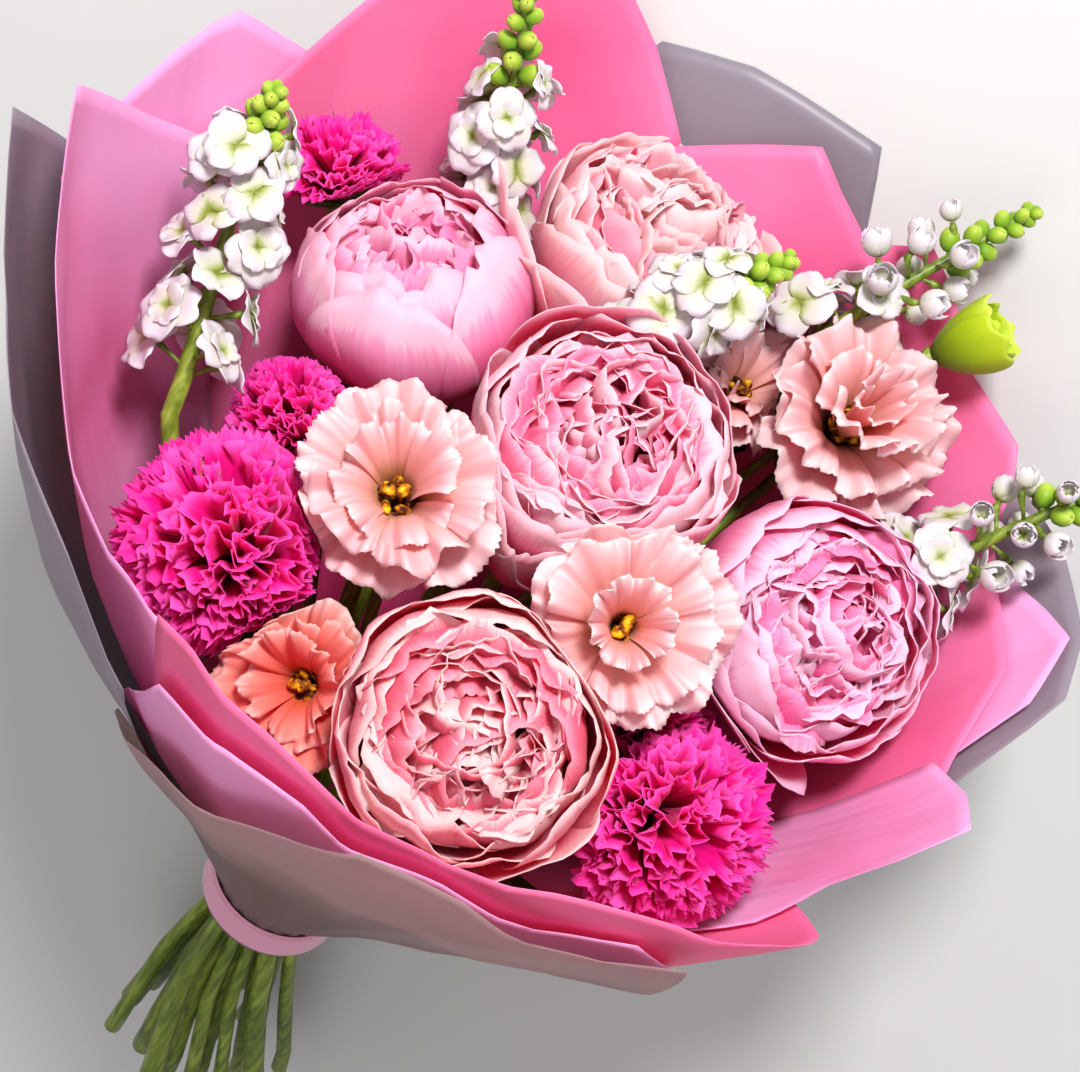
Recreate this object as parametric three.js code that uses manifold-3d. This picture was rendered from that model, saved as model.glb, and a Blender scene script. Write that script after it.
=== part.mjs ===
// Mixed flower bouquet in paper and frosted film, lying on its back sheets.
// Millimetres, +Z up, the table at z = 0, the flower heads toward -Y, the cut stems toward +Y.
import * as THREE from 'three';
import Module from 'manifold-3d';

const wasm = await Module();
wasm.setup();
const Manifold = wasm.Manifold;
const DEG = Math.PI / 180;
const { sin, cos, abs, min, max, hypot, PI } = Math;

// Bouquet frame: origin in the waist where the stems are tied, x to the side,
// t toward the upper side of the lying bunch, h along the axis from stems to heads.
const LEAN = 17.5 * DEG;
const WAIST_Z = 97.1;
const heightOverTable = (p) => p[1] * cos(LEAN) + p[2] * sin(LEAN) + WAIST_Z;
const lift = (p, dz) => [p[0], p[1] + dz * cos(LEAN), p[2] + dz * sin(LEAN)];

// ---- small vector helpers -------------------------------------------------
const add = (a, b) => [a[0] + b[0], a[1] + b[1], a[2] + b[2]];
const sub = (a, b) => [a[0] - b[0], a[1] - b[1], a[2] - b[2]];
const mul = (a, s) => [a[0] * s, a[1] * s, a[2] * s];
const dot = (a, b) => a[0] * b[0] + a[1] * b[1] + a[2] * b[2];
const cross = (a, b) => [
  a[1] * b[2] - a[2] * b[1], a[2] * b[0] - a[0] * b[2], a[0] * b[1] - a[1] * b[0]];
const len = (a) => hypot(a[0], a[1], a[2]);
const unit = (a) => mul(a, 1 / (len(a) || 1));
const lerp = (a, b, k) => add(mul(a, 1 - k), mul(b, k));
const smooth = (x) => { const k = min(1, max(0, x)); return k * k * (3 - 2 * k); };
function random(seed) {
  let s = seed >>> 0;
  return () => {
    s = (s + 0x6d2b79f5) >>> 0;
    let r = Math.imul(s ^ (s >>> 15), 1 | s);
    r = (r + Math.imul(r ^ (r >>> 7), 61 | r)) ^ r;
    return ((r ^ (r >>> 14)) >>> 0) / 4294967296;
  };
}
function table(xs, ys, x) {
  if (x <= xs[0]) return ys[0];
  for (let i = 1; i < xs.length; i++) {
    if (x <= xs[i]) return ys[i - 1] + (ys[i] - ys[i - 1]) * (x - xs[i - 1]) / (xs[i] - xs[i - 1]);
  }
  return ys[ys.length - 1];
}

// ---- solids from points ---------------------------------------------------
function solid(points, faces) {
  let volume = 0;
  for (const [a, b, c] of faces) volume += dot(points[a], cross(points[b], points[c]));
  const tris = volume < 0 ? faces.map(([a, b, c]) => [a, c, b]) : faces;
  return new Manifold(new wasm.Mesh({
    numProp: 3,
    vertProperties: new Float32Array(points.flat()),
    triVerts: new Uint32Array(tris.flat()),
  }));
}
// How the cell of a grid is split into two triangles: the diagonals alternate.
function split(q, parity) {
  if (parity % 2) return [[q[0], q[1], q[3]], [q[1], q[2], q[3]]];
  return [[q[0], q[1], q[2]], [q[0], q[2], q[3]]];
}
// A slab between two grids of points [column][row], split alike on both faces.
function slab(front, back) {
  const nc = front.length;
  const nr = front[0].length;
  const points = [];
  for (const grid of [front, back]) for (const column of grid) points.push(...column);
  const id = (side, i, j) => side * nc * nr + i * nr + j;
  const faces = [];
  for (let i = 0; i < nc - 1; i++) {
    for (let j = 0; j < nr - 1; j++) {
      for (const side of [0, 1]) {
        const q = [id(side, i, j), id(side, i + 1, j), id(side, i + 1, j + 1), id(side, i, j + 1)];
        for (const f of split(q, i + j)) faces.push(side ? [f[0], f[2], f[1]] : f);
      }
    }
  }
  const rim = [];
  for (let i = 0; i < nc - 1; i++) rim.push([i, 0, i + 1, 0]);
  for (let j = 0; j < nr - 1; j++) rim.push([nc - 1, j, nc - 1, j + 1]);
  for (let i = nc - 1; i > 0; i--) rim.push([i, nr - 1, i - 1, nr - 1]);
  for (let j = nr - 1; j > 0; j--) rim.push([0, j, 0, j - 1]);
  for (const [a, b, c, d] of rim) {
    faces.push([id(0, a, b), id(1, c, d), id(0, c, d)], [id(0, a, b), id(1, a, b), id(1, c, d)]);
  }
  return solid(points, faces);
}
// A curved blade: f(u, v) with u in -1..1 across and v in 0..1 from root to rim. At each point its
// two faces stand off along one direction that all the facets round the point lean toward.
function blade(f, columns, rows, thick) {
  const grid = [];
  for (let i = 0; i <= columns; i++) {
    grid.push([]);
    for (let j = 0; j <= rows; j++) grid[i].push(f(-1 + 2 * i / columns, j / rows, i, j));
  }
  const around = grid.map((column) => column.map(() => []));
  for (let i = 0; i < columns; i++) {
    for (let j = 0; j < rows; j++) {
      const cell = [[i, j], [i + 1, j], [i + 1, j + 1], [i, j + 1]];
      for (const three of split(cell, i + j)) {
        const [a, b, c] = three.map(([k, m]) => grid[k][m]);
        const n = unit(cross(sub(b, a), sub(c, a)));
        for (const [k, m] of three) around[k][m].push(n);
      }
    }
  }
  const offset = (i, j) => {
    const facets = around[i][j];
    let n = unit(facets.reduce(add));
    for (let pass = 0; pass < 30; pass++) {
      const worst = facets.reduce((a, b) => (dot(n, a) < dot(n, b) ? a : b));
      n = unit(add(n, mul(worst, 0.1)));
    }
    const least = min(...facets.map((m) => dot(n, m)));
    return mul(n, thick / 2 / max(0.5, least));
  };
  const front = grid.map((column, i) => column.map((p, j) => add(p, offset(i, j))));
  const back = grid.map((column, i) => column.map((p, j) => sub(p, offset(i, j))));
  return slab(front, back);
}
function ball(c, r, sides = 6, rings = 3, stretch = 1) {
  const points = [add(c, [0, 0, -r * stretch])];
  for (let k = 1; k <= rings; k++) {
    const th = PI * k / (rings + 1);
    for (let i = 0; i < sides; i++) {
      const al = 2 * PI * (i + 0.5 * (k % 2)) / sides;
      points.push(add(c, [r * sin(th) * cos(al), r * sin(th) * sin(al), -r * cos(th) * stretch]));
    }
  }
  points.push(add(c, [0, 0, r * stretch]));
  const top = points.length - 1;
  const faces = [];
  for (let i = 0; i < sides; i++) {
    const n = (i + 1) % sides;
    faces.push([0, 1 + n, 1 + i]);
    for (let k = 0; k < rings - 1; k++) {
      const a = 1 + k * sides;
      faces.push([a + i, a + n, a + sides + i], [a + n, a + sides + n, a + sides + i]);
    }
    const a = 1 + (rings - 1) * sides;
    faces.push([top, a + i, a + n]);
  }
  return solid(points, faces);
}
function tube(path, radius, sides) {
  const points = [];
  let side = null;
  for (let k = 0; k < path.length; k++) {
    const t = unit(sub(path[min(k + 1, path.length - 1)], path[max(k - 1, 0)]));
    if (!side) side = unit(cross(t, abs(t[0]) < 0.8 ? [1, 0, 0] : [0, 1, 0]));
    side = unit(sub(side, mul(t, dot(side, t))));
    const other = cross(t, side);
    const r = typeof radius === 'function' ? radius(k / (path.length - 1)) : radius;
    for (let i = 0; i < sides; i++) {
      const al = 2 * PI * i / sides;
      points.push(add(path[k], add(mul(side, r * cos(al)), mul(other, r * sin(al)))));
    }
  }
  const faces = [];
  for (let k = 0; k < path.length - 1; k++) {
    for (let i = 0; i < sides; i++) {
      const n = (i + 1) % sides;
      const a = k * sides;
      faces.push([a + i, a + n, a + sides + i], [a + n, a + sides + n, a + sides + i]);
    }
  }
  const last = (path.length - 1) * sides;
  for (let i = 1; i < sides - 1; i++) {
    faces.push([0, i + 1, i], [last, last + i, last + i + 1]);
  }
  return solid(points, faces);
}
// Moves a solid made round the origin, with its face toward +z, to a place and a direction.
function seat(shape, place, facing, spin = 0) {
  const z = unit(facing);
  const x0 = unit(cross(abs(z[0]) < 0.9 ? [1, 0, 0] : [0, 1, 0], z));
  const y0 = cross(z, x0);
  const x = add(mul(x0, cos(spin)), mul(y0, sin(spin)));
  const y = cross(z, x);
  return shape.transform([...x, 0, ...y, 0, ...z, 0, ...place, 1]);
}
function largest(shape) {
  let best = null;
  for (const part of shape.decompose()) {
    if (!best || part.volume() > best.volume()) best = part;
  }
  return best;
}

// ---- the wrapper's surface ------------------------------------------------
// Radius of the innermost sheet over height, a tighter front, and the loose outer film.
const H_ROWS = [10, 34, 66, 100, 150, 200, 250, 300, 350, 400, 460];
const R_ROWS = [27.5, 27.5, 48, 72, 110, 146, 176, 198, 215, 227, 236];
function innerRadius(h, az) {
  const d = abs(((az - 85 + 540) % 360) - 180) / 85;
  const front = 0.5 + 0.5 * cos(min(d, 1) * PI);
  const e = abs(((az - 135 + 540) % 360) - 180) / 60;
  const side = 0.5 + 0.5 * cos(min(e, 1) * PI);
  const dent = 0.05 * side * (smooth((h - 40) / 60) - smooth((h - 210) / 60));
  const tight = 1 - 0.2 * front * smooth((h - 29) / 120) - dent;
  const fold = 3.2 * smooth((h - 60) / 260) * sin(5 * az * DEG + 0.6);
  return table(H_ROWS, R_ROWS, h) * tight + fold;
}
function wrapSpan(h, az) {
  const d = abs(((az - 60 + 540) % 360) - 180) / 95;
  const front = 0.5 + 0.5 * cos(min(d, 1) * PI);
  return 6.6 + 0.055 * max(0, table(H_ROWS, R_ROWS, h) - 30) + 14 * front * smooth((h - 60) / 260);
}
const FLOOR_STEP = 3.0;
const LAYERS = 4;
function wrapPoint(h, az, layer) {
  const r = innerRadius(h, az) + wrapSpan(h, az) * layer / LAYERS;
  const p = [r * cos(az * DEG), r * sin(az * DEG), h];
  const z = heightOverTable(p);
  const floor = (LAYERS - layer) * FLOOR_STEP;
  if (layer >= LAYERS - 0.001) return z < 0 ? lift(p, -z) : p;
  const over = z - floor;
  const soft = 5;
  if (over > 4 * soft) return p;
  const lifted = over < -4 * soft ? 0.09 : soft * Math.log1p(Math.exp(over / soft));
  return lift(p, lifted - over);
}
const SHEET = 0.8;
const ROWS = [10, 34, 100, 200];
const stepAt = (az) => (az > 236 && az < 306 ? 9.5 : az > 170 && az < 240 ? 11.5 : 14);
// A sheet: its layer and its top edge as [azimuth, height] points in order of azimuth.
function sheet(layer, edge) {
  const marks = [];
  for (let i = 0; i < edge.length - 1; i++) {
    const [from, to] = [edge[i][0], edge[i + 1][0]];
    const n = Math.ceil((to - from) / stepAt((from + to) / 2));
    for (let k = 0; k < n; k++) marks.push(from + (to - from) * k / n);
  }
  marks.push(edge[edge.length - 1][0]);
  const xs = edge.map((e) => e[0]);
  const ys = edge.map((e) => e[1]);
  const outer = [];
  const inner = [];
  for (const az of marks) {
    const top = table(xs, ys, az);
    const heights = ROWS.map((h) => (h > 34 ? 34 + (h - 34) * min(1, (top - 34) / 190) : h));
    heights.push((heights[3] + top) / 2, top);
    outer.push(heights.map((h) => wrapPoint(h, az, layer)));
    inner.push(heights.map((h) => {
      const p = wrapPoint(h, az, layer);
      const du = sub(wrapPoint(h, az + 1, layer), wrapPoint(h, az - 1, layer));
      const dv = sub(wrapPoint(h + 2, az, layer), wrapPoint(h - 2, az, layer));
      let n = unit(cross(du, dv));
      if (dot(n, [p[0], p[1], 0]) > 0) n = mul(n, -1);
      return add(p, mul(n, SHEET));
    }));
  }
  return slab(outer, inner);
}
// The room inside the wrapper, a little clear of the innermost sheet.
function roomInside(gap) {
  const cols = 36;
  const hs = [-60, 30, 66, 100, 150, 200, 250, 300, 350, 400, 460, 560];
  const points = [];
  for (const h of hs) {
    for (let i = 0; i < cols; i++) {
      const az = 360 * i / cols;
      const p = wrapPoint(h, az, 0);
      const r = hypot(p[0], p[1]);
      const k = (r - gap - (h < 40 ? 0 : 0.6)) / r;
      let q = [p[0] * k, p[1] * k, p[2]];
      if (h > 450) q = [p[0] * 1.6, p[1] * 1.6, p[2]];
      points.push(q);
    }
  }
  const faces = [];
  for (let k = 0; k < hs.length - 1; k++) {
    for (let i = 0; i < cols; i++) {
      const n = (i + 1) % cols;
      const a = k * cols;
      faces.push([a + i, a + n, a + cols + i], [a + n, a + cols + n, a + cols + i]);
    }
  }
  const low = points.push([0, 0, hs[0]]) - 1;
  const high = points.push([0, 0, hs[hs.length - 1]]) - 1;
  const last = (hs.length - 1) * cols;
  for (let i = 0; i < cols; i++) {
    const n = (i + 1) % cols;
    faces.push([low, n, i], [high, last + i, last + n]);
  }
  return solid(points, faces);
}

// ---- bloom forms, made round the origin with the face toward +z ------------
// A cupped petal on a ball, from the bottom pole up: neighbours in a whorl stand side by side.
function cupPetal(o) {
  return blade((u, v) => {
    const th = (o.low + (o.high - o.low) * v * (1 - 0.15 * u * u)) * DEG;
    const al = o.az * DEG + u * o.half * DEG * (0.5 + 0.5 * sin(PI * (0.1 + 0.72 * v)));
    const wave = o.wave * sin(o.waves * PI * u + o.phase) * v * v;
    const rho = o.rho + wave + o.flare * v * v;
    return [rho * sin(th) * cos(al), rho * sin(th) * sin(al), -rho * cos(th) * 0.86];
  }, o.columns, o.rows, 0.8);
}
function peony(R, o) {
  const rnd = random(o.seed);
  const parts = [ball([0, 0, -0.4 * R], 0.46 * R, 5, 2)];
  const whorls = [
    { n: 5, rho: 0.94, high: o.open, half: 33, columns: 3, rows: 2, wave: 0.035 },
    { n: 4, rho: 0.79, high: o.open + 10, half: 41, columns: 3, rows: 1, wave: 0.04 },
    { n: 3, rho: 0.62, high: o.open + 24, half: 52, columns: 3, rows: 1, wave: 0.05 },
    { n: 2, rho: 0.46, high: o.open + 40, half: 76, columns: 4, rows: 1, wave: 0.1 },
  ];
  whorls.forEach((w, k) => {
    for (let i = 0; i < w.n; i++) {
      parts.push(cupPetal({
        az: 360 * i / w.n + k * 37 + 3 * (rnd() - 0.5), half: w.half, low: 17,
        high: min(166, w.high + 10 * (rnd() - 0.5)), rho: w.rho * R, flare: k === 0 && o.flare ? 0.04 * R : 0,
        wave: w.wave * R, waves: 2.5, phase: 6 * rnd(), columns: w.columns, rows: w.rows,
      }));
    }
  });
  return Manifold.union(parts);
}
// A funnel of petals: each one rises from the root, spreads, and has a waved and nicked rim.
function funnel(R, rnd, w) {
  const made = [];
  const start = w.start || 0.07;
  for (let i = 0; i < w.n; i++) {
    const az = 360 * i / w.n + w.turn + 3 * (rnd() - 0.5);
    const ph = 6 * rnd();
    made.push(blade((u, v, c) => {
      const nick = v > 0.99 ? 1 - w.nick * (c % 2) : 1;
      const k = max(0, v);
      const rho = R * (start + (w.reach - start) * Math.pow(k, w.bow)) * nick * (1 - 0.07 * u * u * k);
      const al = (az + u * w.half * (1 - 0.06 * k)) * DEG;
      const wave = w.wave * sin(w.waves * PI * u + ph) * k * k;
      const z = R * (w.root + (w.rise - w.root) * sin(min(1, k) * PI / 2) + wave);
      return [rho * cos(al), rho * sin(al), z];
    }, w.columns, w.rows, 0.8));
  }
  return made;
}
function lisianthus(R, o) {
  const rnd = random(o.seed);
  const parts = [ball([0, 0, -0.55 * R], 0.2 * R, 5, 2)];
  const shared = { root: -0.58, nick: 0.06, waves: 2.4, rows: 2, bow: 1.1 };
  const outer = { n: 5, reach: 0.97, rise: 0.06, half: 33, wave: 0.08, columns: 3, turn: o.turn || 0 };
  const inner = { n: 3, reach: 0.66, rise: 0.34, half: 52, wave: 0.07, columns: 3, turn: 33, start: 0.03 };
  inner.rows = 1;
  if (o.small) outer.rows = 1;
  parts.push(...funnel(R, rnd, { ...shared, ...outer }), ...funnel(R, rnd, { ...shared, ...inner }));
  return Manifold.union(parts);
}
function carnation(R, o) {
  const rnd = random(o.seed);
  const parts = [ball([0, 0, -0.26 * R], 0.4 * R, 5, 2)];
  const shared = { root: -0.5, nick: 0.12, rows: 1, columns: 4, waves: 2.6 };
  const rows = [
    { n: 5, reach: 0.96, rise: -0.1, half: 32, wave: 0.1, bow: 0.95, turn: 0 },
    { n: 4, reach: o.small ? 0.93 : 0.84, rise: o.small ? 0.1 : 0.32, half: 40, wave: 0.1, bow: 1,
      columns: 3, turn: 30 },
    { n: 3, reach: 0.46, rise: 0.7, half: 54, wave: 0.1, bow: 1, columns: 3, turn: 70 },
  ];
  for (const row of rows.slice(o.small ? 1 : 0)) parts.push(...funnel(R, rnd, { ...shared, ...row }));
  return Manifold.union(parts);
}
function limeBud(R, o) {
  const rnd = random(o.seed);
  const parts = [ball([0, 0, -0.45 * R], 0.4 * R, 5, 2)];
  parts.push(...funnel(R, rnd, {
    root: -0.62, nick: 0.08, rows: 2, n: 4, reach: 0.72, rise: 0.85, half: 43, wave: 0.05, bow: 0.5,
    columns: 3, turn: 0, waves: 2 }));
  return Manifold.union(parts);
}

// ---- the flowers' places: centre in the bouquet frame, radius and facing ---
const blooms = [
  { name: 'peony_1', kind: 'peony', at: [97, -72, 318], R: 54,
    face: [0.36, 0.19, 0.91], open: 142, seed: 11 },
  { name: 'peony_2', kind: 'peony', at: [-7, -32, 340], R: 58,
    face: [0, 0.5, 0.87], open: 112, seed: 17 },
  { name: 'peony_3', kind: 'peony', at: [24, -157, 352], R: 58,
    face: [-0.1, 0.05, 1], open: 104, flare: true, seed: 13 },
  { name: 'peony_4', kind: 'peony', at: [-125, -50, 310], R: 57,
    face: [-0.25, 0.55, 0.8], open: 116, seed: 14 },
  { name: 'peony_5', kind: 'peony', at: [-30, 87, 285], R: 58,
    face: [-0.05, 0.68, 0.73], open: 112, seed: 18 },
  { name: 'lisianthus_1', kind: 'lisianthus', at: [50, 31, 316], R: 47,
    face: [0.12, 0.55, 0.83], seed: 21 },
  { name: 'lisianthus_2', kind: 'lisianthus', at: [-56, 29, 323], R: 47,
    face: [-0.05, 0.66, 0.75], seed: 22 },
  { name: 'lisianthus_3', kind: 'lisianthus', at: [-92, -133, 355], R: 50,
    face: [-0.1, 0.45, 0.89], seed: 23, turn: 20 },
  { name: 'lisianthus_4', kind: 'lisianthus', at: [37, 90, 252], R: 37,
    face: [0.2, 0.8, 0.57], seed: 24, small: true },
  { name: 'lisianthus_5', kind: 'lisianthus', at: [-46, -138, 332], R: 36,
    face: [-0.2, 0.3, 0.93], seed: 25, small: true },
  { name: 'carnation_1', kind: 'carnation', at: [97, 64, 267], R: 48,
    face: [0.4, 0.6, 0.7], seed: 31 },
  { name: 'carnation_2', kind: 'carnation', at: [155, -98, 333], R: 30,
    face: [0.35, -0.05, 0.93], small: true, seed: 32 },
  { name: 'carnation_3', kind: 'carnation', at: [-123, 48, 264], R: 44,
    face: [-0.5, 0.6, 0.6], seed: 33 },
  { name: 'carnation_4', kind: 'carnation', at: [107, -10, 278], R: 31,
    face: [0.5, 0.3, 0.8], small: true, seed: 44 },
  { name: 'carnation_5', kind: 'carnation', at: [-96, 3, 254], R: 38,
    face: [-0.3, 0.6, 0.74], small: true, seed: 35 },
  { name: 'lime_bud', kind: 'bud', at: [-113, -174, 393], R: 21,
    face: [-0.5, -0.25, 0.83], seed: 41 },
];
const sprays = [
  { name: 'stock_1', seed: 51,
    path: [[148, 20, 288], [164, -10, 330], [174, -26, 368], [177, -30, 396]] },
  { name: 'stock_2', seed: 52,
    path: [[80, -128, 300], [98, -131, 345], [112, -135, 392], [128, -140, 436]] },
  { name: 'stock_3', seed: 53,
    path: [[12, -92, 316], [0, -92, 372], [-14, -104, 392], [-28, -122, 408]] },
  { name: 'stock_4', seed: 54,
    path: [[-56, -164, 334], [-66, -163, 380], [-84, -186, 412], [-104, -214, 442]] },
  { name: 'stock_5', seed: 55,
    path: [[-142, -94, 296], [-158, -100, 345], [-178, -116, 380], [-200, -134, 406]] },
];
const stemRadius = { peony: 3.9, lisianthus: 2.5, carnation: 2.7, bud: 2.2, stock: 3.4 };

// ---- stems: a spiral bunch through the waist ------------------------------
const stems = [];
const ROOT = { peony: 0.86, lisianthus: 0.74, carnation: 0.66, bud: 0.85 };
const CALYX = { peony: 0.24, lisianthus: 0.15, carnation: 0.22, bud: 0.26 };
for (const b of blooms) {
  const n = unit(b.face);
  const foot = sub(b.at, mul(n, ROOT[b.kind] * b.R + 0.6));
  const cup = CALYX[b.kind] * b.R;
  stems.push({ owner: b, r: stemRadius[b.kind], foot, down: mul(n, -1), plan: [b.at[0], b.at[1]], cup });
}
for (const s of sprays) {
  const p = s.path;
  const down = unit(sub(p[0], p[1]));
  const up = new THREE.CatmullRomCurve3(p.map((q) => new THREE.Vector3(...q)), false, 'centripetal');
  s.point = (k) => { const q = up.getPoint(k); return [q.x, q.y, q.z]; };
  s.spine = [0.25, 0.5, 0.75, 1].map(s.point);
  stems.push({ owner: s, r: stemRadius.stock, foot: p[0], down, plan: [p[0][0], p[0][1]] });
}
const WAIST = 0.105;
for (const s of stems) s.w = [s.plan[0] * WAIST, s.plan[1] * WAIST];
for (let pass = 0; pass < 400; pass++) {
  for (let i = 0; i < stems.length; i++) {
    for (let j = i + 1; j < stems.length; j++) {
      const a = stems[i];
      const b = stems[j];
      const dx = b.w[0] - a.w[0];
      const dy = b.w[1] - a.w[1];
      const d = hypot(dx, dy) || 0.01;
      const want = a.r + b.r + 1.3;
      if (d < want) {
        const k = (want - d) / d / 2 * 0.6;
        a.w = [a.w[0] - dx * k, a.w[1] - dy * k];
        b.w = [b.w[0] + dx * k, b.w[1] + dy * k];
      }
    }
  }
  for (const s of stems) {
    const d = hypot(s.w[0], s.w[1]);
    const most = 25.5 - s.r;
    if (d > most) s.w = [s.w[0] * most / d, s.w[1] * most / d];
  }
}
// How far the bunch spreads from its tied waist, and how far it twists, over height.
const SPREAD_ROWS = [-150, -80, -25, 8, 36, 66, 115, 180, 250];
const SPREAD = [2.55, 1.95, 1.36, 1, 1, 1.5, 2.75, 4.75, 6.8];
const TWIST_ROWS = [-150, 24, 70, 135, 210];
const TWIST = [62, 30, 18, 6, 0];
const TAIL_SWEEP = 26;
function bunch(s, h) {
  const grow = table(SPREAD_ROWS, SPREAD, h);
  const turn = table(TWIST_ROWS, TWIST, h) * DEG;
  const c = cos(turn);
  const d = sin(turn);
  const sweep = TAIL_SWEEP * smooth((10 - h) / 190);
  const wide = 1 + 0.16 * smooth(-h / 130);
  return [wide * grow * (s.w[0] * c - s.w[1] * d) - sweep, grow * (s.w[0] * d + s.w[1] * c), h];
}
// A stem's radius grows from the waist to its cut end: k runs over the stem's points.
const girth = (s, k, last) => s.r * [1.5, 1.3][Math.round(k * last)] || s.r;
// Each stem's middle is nudged, the smallest step first, until it passes clear of the ones before it.
function stemLine(s, nudge) {
  const low = [s.end, -60, 8, 36, 66, 108].map((h) => bunch(s, h));
  const path = [bunch(s, 66), bunch(s, 108)];
  const neck = add(s.foot, mul(s.down, 26));
  const middle = lerp(bunch(s, 108), neck, 0.55);
  path.push(add(lerp(middle, bunch(s, middle[2]), 0.3), nudge), neck, s.foot);
  const curve = new THREE.CatmullRomCurve3(path.map((p) => new THREE.Vector3(...p)), false, 'centripetal');
  const line = [...low];
  for (const k of [0.4, 0.55, 0.7, 0.85, 1]) {
    const q = curve.getPoint(k);
    line.push([q.x, q.y, q.z]);
  }
  return line;
}
function segmentGap(p1, q1, p2, q2) {
  const d1 = sub(q1, p1);
  const d2 = sub(q2, p2);
  const r = sub(p1, p2);
  const a = dot(d1, d1);
  const e = dot(d2, d2);
  const f = dot(d2, r);
  const c = dot(d1, r);
  const b = dot(d1, d2);
  const den = a * e - b * b;
  let u = den > 1e-9 ? min(1, max(0, (b * f - c * e) / den)) : 0;
  let v = (b * u + f) / e;
  if (v < 0) { v = 0; u = min(1, max(0, -c / a)); }
  if (v > 1) { v = 1; u = min(1, max(0, (b - c) / a)); }
  return len(sub(add(p1, mul(d1, u)), add(p2, mul(d2, v))));
}
function lineGap(a, b) {
  let least = Infinity;
  for (let i = 0; i < a.length - 1; i++) {
    for (let j = 0; j < b.length - 1; j++) least = min(least, segmentGap(a[i], a[i + 1], b[j], b[j + 1]));
  }
  return least;
}
const placed = [];
for (const s of stems) {
  const rnd = random(700 + stems.indexOf(s));
  s.end = -138 + 16 * (rnd() - 0.5);
  let best = null;
  for (let ring = 0; ring <= 8 && !(best && best.slack > 0.7); ring++) {
    for (let k = 0; k < (ring ? 8 : 1); k++) {
      const line = stemLine(s, [7 * ring * cos(k * PI / 4), 7 * ring * sin(k * PI / 4), 0]);
      const walls = line.filter((p) => p[2] > 30).map((p) => {
        const az = (Math.atan2(p[1], p[0]) / DEG + 360) % 360;
        const w = wrapPoint(p[2], az, 0);
        const out = hypot(w[0], w[1]) - hypot(p[0], p[1]) - s.r - 2;
        return p[2] < 100 ? out : min(out, heightOverTable(p) - s.r - 15);
      });
      const slack = min(...placed.map((o) => lineGap(line, o.line) - o.r - s.r), ...walls);
      if (!best || slack > best.slack) best = { line, slack };
      if (slack > 0.7) break;
    }
  }
  s.line = best.line;
  s.trunk = [...s.line];
  if (s.cup) {
    const end = s.trunk.pop();
    s.trunk.push(add(end, mul(s.down, s.cup * 0.9)), end);
  } else s.trunk.push(...s.owner.spine);
  const last = s.trunk.length - 1;
  s.fat = tube(s.trunk, (k) => girth(s, k, last) * 1.18 + 0.35, 6);
  if (s.cup) {
    const end = s.trunk[s.trunk.length - 1];
    const flare = [add(end, mul(s.down, s.cup * 0.9 + 3)), add(end, mul(s.down, -0.6))];
    s.fat = s.fat.add(tube(flare, (k) => (k === 1 ? s.cup * 1.25 + 0.8 : s.r * 1.3 + 0.8), 5));
  }
  placed.push(s);
}

// ---- solids of the blooms -------------------------------------------------
const room = roomInside(1.0);
for (const b of blooms) {
  const made = {
    peony: () => peony(b.R, b),
    lisianthus: () => lisianthus(b.R, b),
    carnation: () => carnation(b.R, b),
    bud: () => limeBud(b.R, b),
  }[b.kind]();
  b.raw = seat(made, b.at, b.face, b.seed);
}
for (const b of blooms) {
  let s = b.raw;
  for (const o of blooms) {
    if (o === b) continue;
    const d = sub(o.at, b.at);
    const dist = len(d);
    if (dist > b.R + o.R + 1) continue;
    const cut = (dist * dist + b.R * b.R - o.R * o.R) / (2 * dist) - 0.2;
    const n = mul(unit(d), -1);
    s = s.trimByPlane(n, dot(n, b.at) - cut);
  }
  for (const o of stems) {
    const own = o.owner === b;
    if (own) continue;
    let near = Infinity;
    for (const p of o.trunk) near = min(near, len(sub(p, b.at)));
    if (near < b.R + 26) s = s.subtract(o.fat);
  }
  if (b.kind !== 'bud') s = s.intersect(room);
  b.solid = largest(s);
}

// Green parts under each bloom: stem, calyx and a few long leaves.
function leaf(foot, tip, width, side) {
  const along = sub(tip, foot);
  const s = unit(cross(along, side));
  const up = unit(cross(s, along));
  return blade((u, v) => {
    const w = width * (0.12 + sin(PI * (0.05 + 0.93 * v)) * 0.88);
    const arch = 0.16 * len(along) * v * (1 - v) + 0.25 * abs(u) * w;
    return add(add(lerp(foot, tip, v), mul(s, u * w)), mul(up, arch));
  }, 2, 2, 0.8);
}
for (const s of stems) {
  if (!s.cup) continue;
  const last = s.trunk.length - 1;
  s.body = tube(s.trunk, (k) => (k === 1 ? s.cup : girth(s, k, last)), s.r > 3 ? 5 : 4);
  s.owner.green = s;
}
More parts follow.
